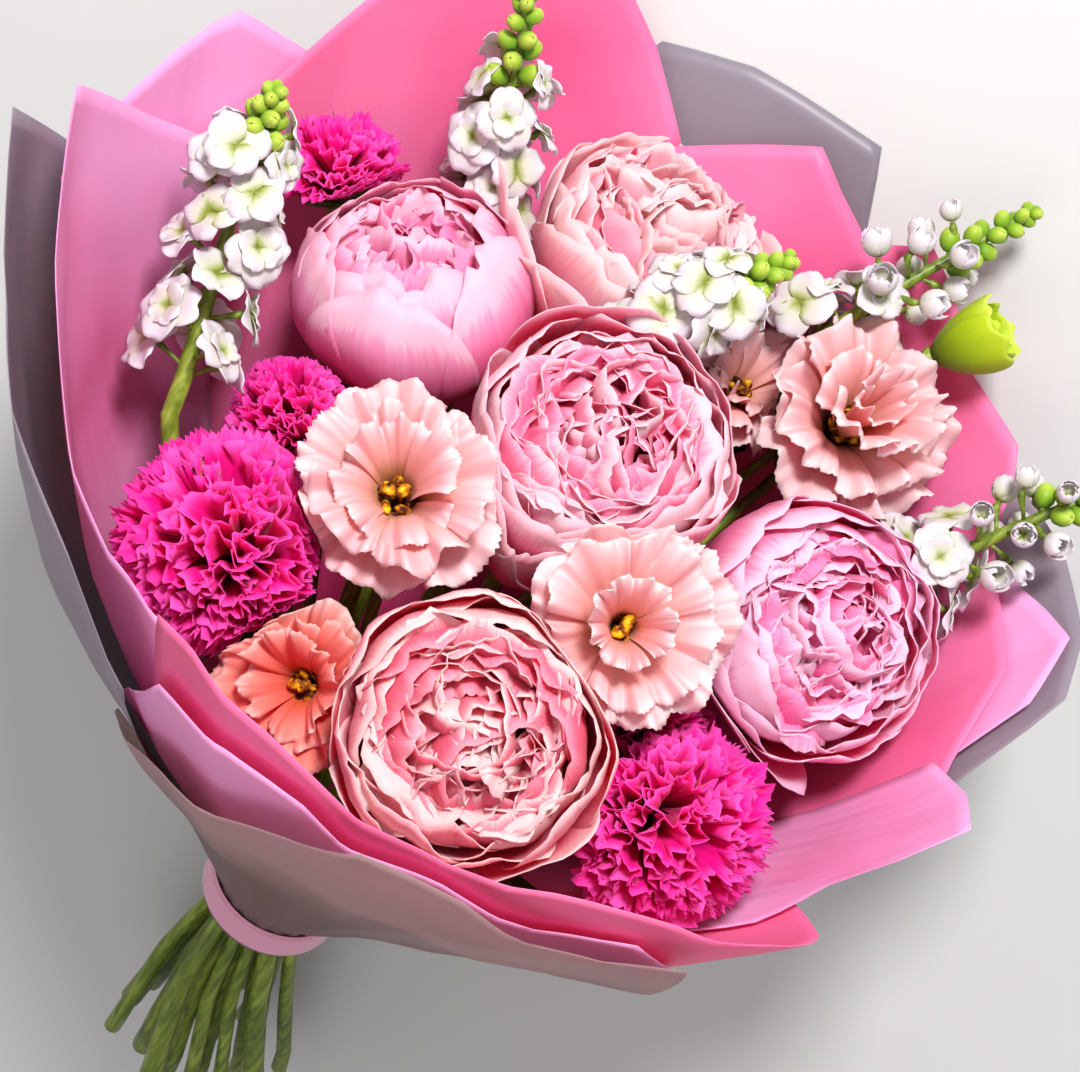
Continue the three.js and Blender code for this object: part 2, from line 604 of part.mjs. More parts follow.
// Leaves stand between the stems below the heads.
const leaves = [
  ['peony_1', 7, [70, -30, 262], [18, 40, 40], 9],
  ['peony_4', 7, [-92, -92, 262], [-20, -30, 40], 9],
  ['peony_5', 7, [-72, 92, 214], [-30, 30, 30], 9],
  ['peony_2', 7, [22, -88, 276], [10, -30, 40], 9],
  ['carnation_3', 7, [-128, 76, 216], [0, 40, 30], 7],
  ['carnation_1', 7, [134, 22, 226], [30, 0, 40], 7],
  ['lisianthus_1', 7, [78, 66, 204], [30, 10, 40], 7],
  ['lisianthus_3', 7, [-134, -96, 276], [-40, 0, 40], 8],
  ['carnation_2', 7, [136, -120, 268], [20, -40, 40], 7],
];
for (const [name, k, tip, side, width] of leaves) {
  const b = blooms.find((x) => x.name === name);
  const s = b.green;
  const foot = s.line[k];
  let l = leaf(foot, tip, width, side);
  for (const o of blooms) {
    if (len(sub(o.at, tip)) > o.R + 90) continue;
    l = l.subtract(ball(o.at, o.R * 1.08 + 0.4, 8, 5));
  }
  for (const o of stems) if (o !== s) l = l.subtract(o.fat);
  s.body = largest(Manifold.union([s.body, l]));
}

// Stock: white florets up a green stem, and round buds at its tip.
// The floret's short green tube reaches back to the stem, at depth d behind its face.
function floret(r, d, rnd) {
  const top = [];
  const low = [];
  const neck = [];
  const n = 8;
  for (let i = 0; i < n; i++) {
    const al = 2 * PI * i / n;
    const q = i % 2 ? 0.6 : 1;
    const z = r * (0.14 + 0.2 * (rnd() - 0.5) + (i % 2 ? 0.2 : 0));
    top.push([q * r * cos(al), q * r * sin(al), z + 0.8]);
    low.push([q * r * cos(al), q * r * sin(al), z]);
  }
  for (let i = 0; i < 4; i++) neck.push([1.5 * cos(PI * i / 2), 1.5 * sin(PI * i / 2), -1.6]);
  const points = [...top, ...low, ...neck, [0, 0, 0.2], [0, 0, -d]];
  const k = 2 * n;
  const faces = [];
  for (let i = 0; i < n; i++) {
    const m = (i + 1) % n;
    const j = k + (i >> 1);
    const next = k + ((j - k + 1) % 4);
    faces.push([k + 4, i, m], [i, n + i, m], [m, n + i, n + m], [n + m, n + i, i % 2 ? next : j]);
    if (i % 2 === 0) faces.push([n + m, j, next], [k + 5, next, j]);
  }
  return solid(points, faces);
}
const clear = (c, need) => {
  let p = c;
  for (let pass = 0; pass < 14; pass++) {
    for (const o of blooms) {
      const d = sub(p, o.at);
      if (len(d) < o.R + need) p = add(o.at, mul(unit(d), o.R + need));
    }
    const r = hypot(p[0], p[1]);
    const wall = innerRadius(p[2], (Math.atan2(p[1], p[0]) / DEG + 360) % 360) - 2.3 * need;
    if (p[2] < 398 && r > wall) p = [p[0] * wall / r, p[1] * wall / r, p[2]];
    const low = 14.5 + 2.2 * need - heightOverTable(p);
    if (p[2] < 420 && low > 0) p = lift(p, low);
  }
  return p;
};
for (const sp of sprays) {
  const s = stems.find((x) => x.owner === sp);
  const rnd = random(sp.seed);
  const point = sp.point;
  const base = s.line.length - 1;
  const total = s.trunk.length - 1;
  const thin = (k) => (k < base ? 1 : 1 - 0.6 * (k - base) / 4);
  const spine = tube(s.trunk, (k) => girth(s, k, total) * thin(k * total), 4);
  const parts = [];
  const count = 5;
  for (let i = 0; i < count; i++) {
    const k = 0.02 + 0.66 * i / (count - 1);
    const root = point(k);
    const along = unit(sub(point(min(1, k + 0.05)), point(max(0, k - 0.05))));
    const al = i * 137.5 * DEG + sp.seed;
    const a = unit(cross(along, [0.2, 0.3, 1]));
    const b = cross(along, a);
    const out = unit(add(add(mul(a, cos(al)), mul(b, sin(al))), mul(along, 0.35)));
    const r = 17 - 6 * k + 2 * rnd();
    const c = clear(add(root, mul(out, 13 - 4 * k)), 0.45 * r);
    const away = len(sub(c, root));
    if (away > 30) continue;
    parts.push(seat(floret(r, away, rnd), c, sub(c, root), rnd() * 6));
  }
  const budCount = 4;
  for (let i = 0; i < budCount; i++) {
    const k = 0.74 + 0.26 * i / (budCount - 1);
    const root = point(k);
    const along = unit(sub(point(min(1, k + 0.02)), point(k - 0.05)));
    const al = i * 137.5 * DEG + sp.seed * 2;
    const a = unit(cross(along, [0.2, 0.3, 1]));
    const b = cross(along, a);
    const out = unit(add(add(mul(a, cos(al)), mul(b, sin(al))), mul(along, 0.5)));
    const r = 5.4 - 6 * (k - 0.74);
    parts.push(ball(add(root, mul(out, i === budCount - 1 ? 0.5 : r * 0.9)), r, 4, 2));
  }
  let heads = Manifold.union(parts);
  for (const o of blooms) {
    if (heads.intersect(o.solid).volume() > 0) heads = heads.subtract(ball(o.at, o.R + 0.3, 14, 9));
  }
  let body = spine.add(heads);
  for (const o of stems) if (o !== s) body = body.subtract(o.fat);
  sp.solid = largest(body);
}

// ---- gather the named meshes ---------------------------------------------
// The bunch is built upright in its own frame and then laid back onto the table.
const bunched = new THREE.Group();
bunched.rotation.x = PI / 2 - LEAN;
bunched.position.z = WAIST_Z;
const finishes = {
  peony: [0xff8fc0, 0.6],
  lisianthus: [0xffc8bc, 0.6],
  carnation: [0xff12ae, 0.65],
  bud: [0xb8d418, 0.55],
  stock: [0xf1f3dc, 0.6],
  green: [0x6f8426, 0.55],
  paper: [0xf56aa6, 0.5],
  film: [0xa2929f, 0.4],
  tie: [0xf0a8c4, 0.45],
};
function put(name, shape, finish) {
  const mesh = shape.getMesh();
  const count = mesh.vertProperties.length / mesh.numProp;
  const position = new Float32Array(count * 3);
  for (let i = 0; i < count; i++) {
    const k = i * mesh.numProp;
    position.set(mesh.vertProperties.subarray(k, k + 3), i * 3);
  }
  const geometry = new THREE.BufferGeometry();
  geometry.setAttribute('position', new THREE.BufferAttribute(position, 3));
  geometry.setIndex(new THREE.BufferAttribute(new Uint32Array(mesh.triVerts), 1));
  const [color, roughness] = finishes[finish];
  const item = new THREE.Mesh(geometry, new THREE.MeshStandardMaterial({ color, roughness, metalness: 0 }));
  item.name = name;
  bunched.add(item);
}
for (const b of blooms) {
  put(`${b.name}_petals`, b.solid, b.kind);
  put(`${b.name}_stem`, b.green.body, 'green');
}
for (const sp of sprays) put(sp.name, sp.solid, 'stock');

// ---- wrapper --------------------------------------------------------------
const sheets = {
  paper_left: [0, [[-18, 330], [-5, 358], [10, 398], [21, 352], [33, 306], [44, 284], [58, 294]]],
  paper_top: [0, [[238, 345], [250, 372], [262, 393], [267, 404], [281, 368], [289, 349]]],
  paper_front: [1, [[60, 311], [67, 318], [80, 314], [94, 304], [106, 304], [118, 319], [131, 327],
    [144, 318], [151, 306], [158, 290], [171, 250]]],
  paper_back: [1, [[281, 368], [289, 399], [297, 424], [302, 436], [313, 428], [325, 382], [335, 351], [346, 330]]],
  paper_right: [1, [[180, 300], [188, 314], [199, 336], [210, 338], [218, 342], [226, 370], [237, 372], [242, 384], [250, 398], [258, 374], [274, 350]]],
  paper_corner: [0, [[156, 215], [162, 240], [169, 277], [171.5, 342], [180, 328], [188, 308]]],
  paper_rear_left: [2, [[320, 340], [331, 364], [340, 383], [349, 372], [356, 360], [366, 342]]],
  paper_outer_front: [2, [[39, 160], [50, 215], [61, 262], [64, 282], [77, 295], [88, 296], [94, 287],
    [107, 296], [120, 288], [130, 305], [138, 285], [144, 240]]],
  paper_outer_right: [2, [[184, 270], [190, 306], [193, 346], [200, 364], [206, 354], [214, 338],
    [224, 320]]],
  film_left: [3, [[-24, 330], [2, 346], [18, 402], [24, 336], [36, 318], [48, 300], [60, 262]]],
  film_right: [3, [[178, 316], [187, 308], [192, 360], [200, 366], [212, 366], [230, 350]]],
  film_front: [4, [[40, 165], [50, 190], [60, 222], [71, 248], [80, 262], [90, 292],
    [96, 316], [108, 315], [117, 300], [126, 300], [133, 316], [139, 262]]],
  film_back: [4, [[234, 322], [254, 350], [262, 412], [278, 408], [288, 396], [294, 352],
    [318, 336], [342, 326]]],
};
for (const [name, [layer, edge]] of Object.entries(sheets)) put(name, sheet(layer, edge), name.split('_')[0]);

// The band that ties the wrapper at the waist.
function ring(r0, r1, h0, h1, sides) {
  const points = [];
  for (let i = 0; i < sides; i++) {
    const al = 2 * PI * i / sides;
    for (const [r, h] of [[r0, h0], [r1, h0], [r1, h1], [r0, h1]]) points.push([r * cos(al), r * sin(al), h]);
  }
  const faces = [];
  for (let i = 0; i < sides; i++) {
    const m = (i + 1) % sides;
    for (let k = 0; k < 4; k++) {
      const q = (k + 1) % 4;
      faces.push([4 * i + k, 4 * i + q, 4 * m + q], [4 * i + k, 4 * m + q, 4 * m + k]);
    }
  }
  return solid(points, faces);
}
const BAND = { inner: 35.3, outer: 36.9, middle: 23, half: 9, sides: 20 };
put('tie_band', ring(BAND.inner, BAND.outer, BAND.middle - BAND.half, BAND.middle + BAND.half, BAND.sides), 'tie');

// The origin is under the middle of the whole bouquet, on the table.
const bouquet = new THREE.Group();
bouquet.name = 'mixed_flower_bouquet';
bouquet.add(bunched);
bouquet.updateMatrixWorld(true);
const reach = new THREE.Box3().setFromObject(bouquet, true);
bunched.position.x -= (reach.min.x + reach.max.x) / 2;
bunched.position.y -= (reach.min.y + reach.max.y) / 2;
export default bouquet;
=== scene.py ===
import math
import random

import bmesh
import bpy
from mathutils import Matrix, Vector, noise


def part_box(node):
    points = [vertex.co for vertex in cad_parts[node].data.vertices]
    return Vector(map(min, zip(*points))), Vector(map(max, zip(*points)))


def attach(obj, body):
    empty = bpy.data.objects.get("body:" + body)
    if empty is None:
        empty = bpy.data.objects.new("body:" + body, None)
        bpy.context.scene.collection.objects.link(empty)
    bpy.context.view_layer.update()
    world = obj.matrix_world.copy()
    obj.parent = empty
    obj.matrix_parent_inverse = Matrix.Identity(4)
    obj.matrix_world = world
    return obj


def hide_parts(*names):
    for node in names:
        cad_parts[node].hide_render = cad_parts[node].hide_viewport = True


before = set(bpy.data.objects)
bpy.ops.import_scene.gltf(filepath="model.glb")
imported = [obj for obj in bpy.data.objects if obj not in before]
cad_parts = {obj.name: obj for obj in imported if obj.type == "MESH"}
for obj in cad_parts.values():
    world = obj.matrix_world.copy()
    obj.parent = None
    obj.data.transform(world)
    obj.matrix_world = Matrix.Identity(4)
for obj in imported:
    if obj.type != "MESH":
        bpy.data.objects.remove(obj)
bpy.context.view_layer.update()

scene = bpy.context.scene

# ---- The view: camera, floor and light --------------------------------------------------------
# The camera looks down on the lying bunch at the angle from which the photo looks at it, which is
# 48 degrees off the bunch's axis and rolled, because there the bunch is held upright.
#
# The bunch is made upright in millimetres: x to the side, y towards the upper side of the lying
# bunch, z along its axis from the stems to the heads. Then it is laid back on the table, with its
# tied waist where the frame has the tie.
LEAN = math.radians(17.5)
TIE_HEIGHT = 23
tie_low, tie_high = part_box("tie_band")
waist = (tie_low + tie_high) / 2
lay_back = Matrix.Translation(waist) @ Matrix.Rotation(math.pi / 2 - LEAN, 4, "X") @ Matrix.Scale(0.001, 4)
lay_back = lay_back @ Matrix.Translation((0, 0, -TIE_HEIGHT))
stand_up = lay_back.inverted()

# The camera: its lens as the photo's pixels give it, and its place in the bunch's millimetres.
FRAME_WIDTH = 1080
FOCAL_PIXELS = 2250
SENSOR = 36.0
FAR_CLIP = 20
OFF_AXIS = math.radians(48)
ROLL = math.radians(145)
AIM_HEIGHT = 335
DISTANCE = 900
SHIFT = (4.0, 19.6)
toward_camera = Vector((0, math.sin(OFF_AXIS), math.cos(OFF_AXIS)))
level_up = Vector((0, math.cos(OFF_AXIS), -math.sin(OFF_AXIS)))
side = Vector((1, 0, 0))
picture_right = side * math.cos(ROLL) - level_up * math.sin(ROLL)
picture_up = side * math.sin(ROLL) + level_up * math.cos(ROLL)
shift_to_centre = picture_right * SHIFT[0] + picture_up * SHIFT[1]
camera_place = Vector((0, 0, AIM_HEIGHT)) + toward_camera * DISTANCE - shift_to_centre


def standing_at(place, x, y, z):
    """The matrix that puts a thing at a place, along these three axes."""
    return Matrix.Translation(place) @ Matrix((x, y, z)).transposed().to_4x4()


turned = lay_back.to_3x3() * 1000
axes = [turned @ axis for axis in (picture_right, picture_up, toward_camera)]
camera = bpy.data.objects.new("camera", bpy.data.cameras.new("camera"))
camera.matrix_world = standing_at(lay_back @ camera_place, *axes)
camera.data.sensor_width = SENSOR
camera.data.lens = FOCAL_PIXELS * SENSOR / FRAME_WIDTH
camera.data.clip_end = FAR_CLIP
scene.collection.objects.link(camera)
scene.camera = camera
scene.view_settings.view_transform = "Standard"
scene.view_settings.look = "None"


def linear(colour):
    """An sRGB hex colour as the linear values that shaders take."""
    parts = [int(colour[k:k + 2], 16) / 255 for k in (1, 3, 5)]
    return (*[p / 12.92 if p <= 0.04045 else ((p + 0.055) / 1.055) ** 2.4 for p in parts], 1.0)


def add_node(tree, kind, values=None, links=None, stops=None):
    """Adds a node with its settings, its links and its colour ramp's stops. A link comes from a
    socket, or from a node's first output."""
    node = tree.nodes.new("ShaderNode" + kind)
    for key, value in (values or {}).items():
        if isinstance(key, int) or key in node.inputs:
            node.inputs[key].default_value = value
        else:
            setattr(node, key, value)
    for key, source in (links or {}).items():
        socket = source.outputs[0] if isinstance(source, bpy.types.Node) else source
        tree.links.new(socket, node.inputs[key])
    if stops:
        ramp = node.color_ramp
        while len(ramp.elements) < len(stops):
            ramp.elements.new(1.0)
        for element, (place, colour) in zip(ramp.elements, stops):
            element.position = place
            element.color = linear(colour)
    return node


def new_material(name):
    """An empty node material and its tree."""
    material = bpy.data.materials.new(name)
    material.use_nodes = True
    material.node_tree.nodes.clear()
    return material, material.node_tree


# Matt paper backdrop: a plain pale sheet with the faintest mottling.
paper_floor, tree = new_material("backdrop_paper")
place = add_node(tree, "TexCoord").outputs["Object"]
mottle = add_node(tree, "TexNoise", {"Scale": 3.0, "Detail": 3.0}, {"Vector": place})
tint = add_node(tree, "ValToRGB", links={"Fac": mottle}, stops=[(0.3, "#CCCAC9"), (0.7, "#D2D0CF")])
matt = add_node(tree, "BsdfPrincipled", {"Roughness": 0.9, "Specular IOR Level": 0.2}, {"Base Color": tint})
add_node(tree, "OutputMaterial", links={"Surface": matt})
FLOOR_HALF = 4.0
FLOOR_GAP = 0.0006
bm = bmesh.new()
bmesh.ops.create_grid(bm, x_segments=4, y_segments=4, size=FLOOR_HALF)
bmesh.ops.translate(bm, vec=(0, 0, -FLOOR_GAP), verts=bm.verts)
floor_mesh = bpy.data.meshes.new("floor")
bm.to_mesh(floor_mesh)
bm.free()
floor = bpy.data.objects.new("floor", floor_mesh)
floor_mesh.materials.append(paper_floor)
scene.collection.objects.link(floor)

# A large soft key from the picture's top and right, a wide fill from its lower left, a pale room.
# Each lamp stands from the bunch so much nearer the camera, up and to the right in the picture.
KEY = {"from": (0.9, 0.42, 0.2), "distance": 1.7, "size": 0.4, "watts": 40}
FILL = {"from": (0.75, -0.55, -0.35), "distance": 1.9, "size": 1.6, "watts": 8}
ROOM = {"colour": "#F4F2F6", "strength": 0.45}
LIT_HEIGHT = 300
subject = lay_back @ Vector((0, 0, LIT_HEIGHT))
for name, lamp in (("key", KEY), ("fill", FILL)):
    near, up, right = lamp["from"]
    towards = (axes[2] * near + axes[1] * up + axes[0] * right).normalized()
    light = bpy.data.lights.new(name, "AREA")
    light.shape = "DISK"
    light.size = lamp["size"]
    light.energy = lamp["watts"]
    lamp_object = bpy.data.objects.new(name, light)
    lamp_object.location = subject + towards * lamp["distance"]
    lamp_object.rotation_euler = towards.to_track_quat("Z", "Y").to_euler()
    scene.collection.objects.link(lamp_object)
world = bpy.data.worlds.new("room")
world.use_nodes = True
backdrop = world.node_tree.nodes["Background"]
backdrop.inputs["Color"].default_value = linear(ROOM["colour"])
backdrop.inputs["Strength"].default_value = ROOM["strength"]
scene.world = world


# ---- Stems, calyxes and leaves -----------------------------------------------------------------
# Each flower stands on its own cut stem, olive green and slightly ribbed, which runs in a spiral
# through the waist. Under a bloom it widens into the calyx with its sepals; leaves stay on above
# the tie, and the cut end shows pale pith.
#
# Each flower's middle and radius R in millimetres, the way it faces, the spin that turns it and
# seeds its petals, and how many degrees of a peony's ball its outer petals cover. The heads stand
# on a dome inside the wrapper, pressed against each other.
BLOOMS = {
    "peony_1": {"at": (97, -72, 318), "R": 54, "face": (0.36, 0.19, 0.91), "spin": 11, "open": 142},
    "peony_2": {"at": (-7, -32, 340), "R": 58, "face": (0, 0.5, 0.87), "spin": 17, "open": 112},
    "peony_3": {"at": (24, -157, 352), "R": 58, "face": (-0.1, 0.05, 1), "spin": 13, "open": 104},
    "peony_4": {"at": (-125, -50, 310), "R": 57, "face": (-0.25, 0.55, 0.8), "spin": 14, "open": 116},
    "peony_5": {"at": (-30, 87, 285), "R": 58, "face": (-0.05, 0.68, 0.73), "spin": 18, "open": 112},
    "lisianthus_1": {"at": (50, 31, 316), "R": 47, "face": (0.12, 0.55, 0.83), "spin": 21},
    "lisianthus_2": {"at": (-56, 29, 323), "R": 47, "face": (-0.05, 0.66, 0.75), "spin": 22},
    "lisianthus_3": {"at": (-92, -133, 355), "R": 50, "face": (-0.1, 0.45, 0.89), "spin": 23},
    "lisianthus_4": {"at": (37, 90, 252), "R": 37, "face": (0.2, 0.8, 0.57), "spin": 24},
    "lisianthus_5": {"at": (-46, -138, 332), "R": 36, "face": (-0.2, 0.3, 0.93), "spin": 25},
    "carnation_1": {"at": (97, 64, 267), "R": 48, "face": (0.4, 0.6, 0.7), "spin": 31},
    "carnation_2": {"at": (155, -98, 333), "R": 30, "face": (0.35, -0.05, 0.93), "spin": 32},
    "carnation_3": {"at": (-123, 48, 264), "R": 44, "face": (-0.5, 0.6, 0.6), "spin": 33},
    "carnation_4": {"at": (107, -10, 278), "R": 31, "face": (0.5, 0.3, 0.8), "spin": 44},
    "carnation_5": {"at": (-96, 3, 254), "R": 38, "face": (-0.3, 0.6, 0.74), "spin": 35},
    "lime_bud": {"at": (-113, -174, 393), "R": 21, "face": (-0.5, -0.25, 0.83), "spin": 41},
}
for bloom in BLOOMS.values():
    bloom["at"] = Vector(bloom["at"])
    bloom["face"] = Vector(bloom["face"]).normalized()

# The wrapper's inner radius in millimetres over height; inner_radius makes it tighter at the front.
WRAP_HEIGHTS = (10, 34, 66, 100, 150, 200, 250, 300, 350, 400, 460)
WRAP_RADII = (27.5, 27.5, 48, 72, 110, 146, 176, 198, 215, 227, 236)


def along_rows(xs, ys, x):
    """The value of a line through the points (xs, ys), held level past its ends."""
    if x <= xs[0]:
        return ys[0]
    for k in range(1, len(xs)):
        if x <= xs[k]:
            return ys[k - 1] + (ys[k] - ys[k - 1]) * (x - xs[k - 1]) / (xs[k] - xs[k - 1])
    return ys[-1]


def ease(x):
    """A smooth step from 0 to 1."""
    x = min(1, max(0, x))
    return x * x * (3 - 2 * x)


def front_bump(azimuth, middle, half_width):
    """A smooth bump of 1 at the middle azimuth, down to 0 at half_width from it, in degrees."""
    off = abs((azimuth - middle + 540) % 360 - 180) / half_width
    return 0.5 + 0.5 * math.cos(min(off, 1) * math.pi)


def inner_radius(height, azimuth):
    """How far the innermost sheet stands off the bunch's axis."""
    dent = 0.05 * front_bump(azimuth, 135, 60) * (ease((height - 40) / 60) - ease((height - 210) / 60))
    tight = 1 - 0.2 * front_bump(azimuth, 85, 85) * ease((height - 29) / 120) - dent
    fold = 3.2 * ease((height - 60) / 260) * math.sin(math.radians(5 * azimuth) + 0.6)
    return along_rows(WRAP_HEIGHTS, WRAP_RADII, height) * tight + fold


def pressed(room, soft):
    """What is left of the room to a neighbour: it closes up softly and never runs out."""
    return room if room > soft else soft * math.exp((room - soft) / soft)


# How near a petal comes to the wrapper, and how far off it starts to bend away, in millimetres.
WALL_GAP = 1.5
WALL_SKIN = 6


def held_in(point, name, skin=9.0):
    """A bloom's point, pressed back by the blooms beside it and by the wrapper round it."""
    bloom = BLOOMS[name]
    for other_name, other in BLOOMS.items():
        apart = other["at"] - bloom["at"]
        gap = apart.length
        if other_name == name or gap > bloom["R"] + other["R"] + 1:
            continue
        towards = apart / gap
        limit = (gap * gap + bloom["R"] ** 2 - other["R"] ** 2) / (2 * gap)
        room = limit - (point - bloom["at"]).dot(towards)
        if room < skin:
            point = point + towards * (room - pressed(room, skin))
    out = math.hypot(point.x, point.y)
    azimuth = math.degrees(math.atan2(point.y, point.x)) % 360
    room = inner_radius(point.z, azimuth) - WALL_GAP - out
    if name != "lime_bud" and room < WALL_SKIN:
        shrink = (out + room - pressed(room, WALL_SKIN)) / out
        point = Vector((point.x * shrink, point.y * shrink, point.z))
    return point


def facing_matrix(bloom):
    """From a bloom's own axes, with its face along z, to the bunch."""
    z = bloom["face"]
    x = Vector((1, 0, 0)).cross(z).normalized()
    turn = Matrix.Rotation(bloom["spin"], 4, "Z")
    return standing_at(bloom["at"], x, z.cross(x), z) @ turn


def ring_point(out, turn, height):
    """A point so far out from an axis, at a turn round it and a height along it."""
    return Vector((out * math.cos(turn), out * math.sin(turn), height))


# Stems' radii in millimetres; how far below a bloom's middle its stem ends and how wide its calyx
# is there, as shares of the bloom's radius.
STEM_RADII = {"peony": 4.2, "lisianthus": 2.7, "carnation": 2.9, "lime": 2.3, "stock": 3.9}
ROOT_DEPTH = {"peony": 0.86, "lisianthus": 0.74, "carnation": 0.66, "lime": 0.85}
CALYX_RADIUS = {"peony": 0.24, "lisianthus": 0.15, "carnation": 0.22, "lime": 0.26}
SEPALS = 5
# A stem's middle is read off the frame at this step, a little above its cut end first, and moves
# no farther sideways within a step.
STEM_STEP = 14
STEM_SIDESTEP = 13
FIRST_CUT = 1.0
END_GAP = 0.9
# Places of the pith and the leaf among a stem's materials.
PITH, LEAF = 1, 2

# Green stem: a waxy skin with fine ribs, some 2 mm apart, and lighter patches.
stem_green, tree = new_material("waxy_green_stem")
place = add_node(tree, "TexCoord").outputs["Object"]
level = add_node(tree, "Mapping", {"Rotation": (LEAN, 0, 0), "Scale": (420, 14, 420)}, {"Vector": place})
ribs = add_node(tree, "TexNoise", {"Scale": 1.0, "Detail": 4.0}, {"Vector": level})
patches = add_node(tree, "TexNoise", {"Scale": 28.0, "Detail": 2.0}, {"Vector": place})
blend = add_node(tree, "Math", {"operation": "MULTIPLY_ADD", 1: 0.5}, {0: patches, 2: ribs})
green = add_node(tree, "ValToRGB", links={"Fac": blend},
                 stops=[(0.5, "#3E5410"), (0.75, "#6C801E"), (1.0, "#98A840")])
bump = add_node(tree, "Bump", {"Strength": 0.35, "Distance": 0.0006}, {"Height": ribs})
wax = add_node(tree, "BsdfPrincipled",
               {"Roughness": 0.42, "Specular IOR Level": 0.45, "Subsurface Weight": 0.12,
                "Subsurface Radius": (0.002, 0.003, 0.001), "Subsurface Scale": 0.6},
               {"Base Color": green, "Normal": bump})
add_node(tree, "OutputMaterial", links={"Surface": wax})

# Pith: the pale wet inside of a cut stem, with a grain of about 1 mm.
pith, tree = new_material("cut_stem_pith")
place = add_node(tree, "TexCoord").outputs["Object"]
grain = add_node(tree, "TexNoise", {"Scale": 900.0, "Detail": 2.0}, {"Vector": place})
pale = add_node(tree, "ValToRGB", links={"Fac": grain}, stops=[(0.35, "#A8B468"), (0.65, "#D8DEA8")])
wet = add_node(tree, "BsdfPrincipled", {"Roughness": 0.35}, {"Base Color": pale})
add_node(tree, "OutputMaterial", links={"Surface": wet})

# Leaf: dark matt green, lighter along its midrib and twelve slanting veins, a little light through it.
leaf_green, tree = new_material("matt_green_leaf")
across = add_node(tree, "Attribute", {"attribute_name": "across"}).outputs["Fac"]
along = add_node(tree, "Attribute", {"attribute_name": "along"}).outputs["Fac"]
midrib = add_node(tree, "Math", {"operation": "ABSOLUTE"}, {0: across})
slant = add_node(tree, "Math", {"operation": "MULTIPLY_ADD", 1: -0.35}, {0: midrib, 2: along})
veins = add_node(tree, "Math", {"operation": "MULTIPLY", 1: 75.0}, {0: slant})
lines = add_node(tree, "Math", {"operation": "SINE"}, {0: veins})
near_rib = add_node(tree, "MapRange", {"From Min": 0.0, "From Max": 0.1, "To Min": 1.6, "To Max": 0.0},
                    {"Value": midrib})
marks = add_node(tree, "Math", {"operation": "MULTIPLY_ADD", 1: 0.3}, {0: lines, 2: near_rib})
green = add_node(tree, "ValToRGB", links={"Fac": marks},
                 stops=[(0.0, "#33541C"), (0.4, "#3F6624"), (1.0, "#7C9A48")])
bump = add_node(tree, "Bump", {"Strength": 0.4, "Distance": 0.0005}, {"Height": marks})
matt = add_node(tree, "BsdfPrincipled", {"Roughness": 0.5, "Specular IOR Level": 0.4},
                {"Base Color": green, "Normal": bump})
glow = add_node(tree, "BsdfTranslucent", links={"Color": green})
both = add_node(tree, "MixShader", {0: 0.22}, {1: matt, 2: glow})
add_node(tree, "OutputMaterial", links={"Surface": both})


def new_blades():
    """A mesh for petals or leaves, with where each point is across and along its blade and a tone."""
    bm = bmesh.new()
    for name in ("across", "along", "tone"):
        bm.verts.layers.float.new(name)
    return bm


def add_blade(bm, columns, rows, tone, form, material_index=0):
    """A grid bent to form(u, v): u from -1 to 1 across, v from 0 at the root to 1 at the rim."""
    layers = bm.verts.layers.float
    across, along, shade = layers["across"], layers["along"], layers["tone"]
    grid = bmesh.ops.create_grid(bm, x_segments=columns, y_segments=rows, size=1)["verts"]
    for vert in grid:
        u, v = vert.co.x, (vert.co.y + 1) / 2
        vert[across], vert[along], vert[shade] = u, v, tone
        vert.co = form(u, v)
    if material_index:
        for vert in grid:
            for face in vert.link_faces:
                face.material_index = material_index


def add_tube(bm, points, radii, end_index=0):
    """A round tube along points, joined into bm. Its flat ends take the material end_index."""
    curve = bpy.data.curves.new("line", "CURVE")
    curve.dimensions = "3D"
    curve.bevel_depth = 1.0
    curve.bevel_resolution = 3
    curve.use_fill_caps = True
    spline = curve.splines.new("POLY")
    spline.points.add(len(points) - 1)
    for knot, point, radius in zip(spline.points, points, radii):
        knot.co = (*point, 1)
        knot.radius = radius
    line = bpy.data.objects.new("line", curve)
    before = len(bm.faces)
    mesh = line.to_mesh()
    bm.from_mesh(mesh)
    line.to_mesh_clear()
    bpy.data.objects.remove(line)
    bpy.data.curves.remove(curve)
    bm.faces.ensure_lookup_table()
    for face in bm.faces[before:]:
        if len(face.verts) > 4:
            face.material_index = end_index


# Points nearer than this, in millimetres, are one.
MERGE_DISTANCE = 0.0005


def finish_piece(bm, name, nodes, materials, wall=0.0):
    """Lays the mesh back on the table, makes it a piece of the bouquet and hides what it replaces."""
    bmesh.ops.remove_doubles(bm, verts=bm.verts, dist=MERGE_DISTANCE)
    bm.transform(lay_back)
    mesh = bpy.data.meshes.new(name)
    bm.to_mesh(mesh)
    bm.free()
    mesh.polygons.foreach_set("use_smooth", [len(p.vertices) < 5 for p in mesh.polygons])
    for material in materials:
        mesh.materials.append(material)
    piece = bpy.data.objects.new(name, mesh)
    scene.collection.objects.link(piece)
    if wall:
        thick = piece.modifiers.new("wall", "SOLIDIFY")
        thick.thickness = wall / 1000
        thick.offset = 0
        thick.use_rim = True
    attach(piece, "root")
    if nodes:
        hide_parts(*nodes)


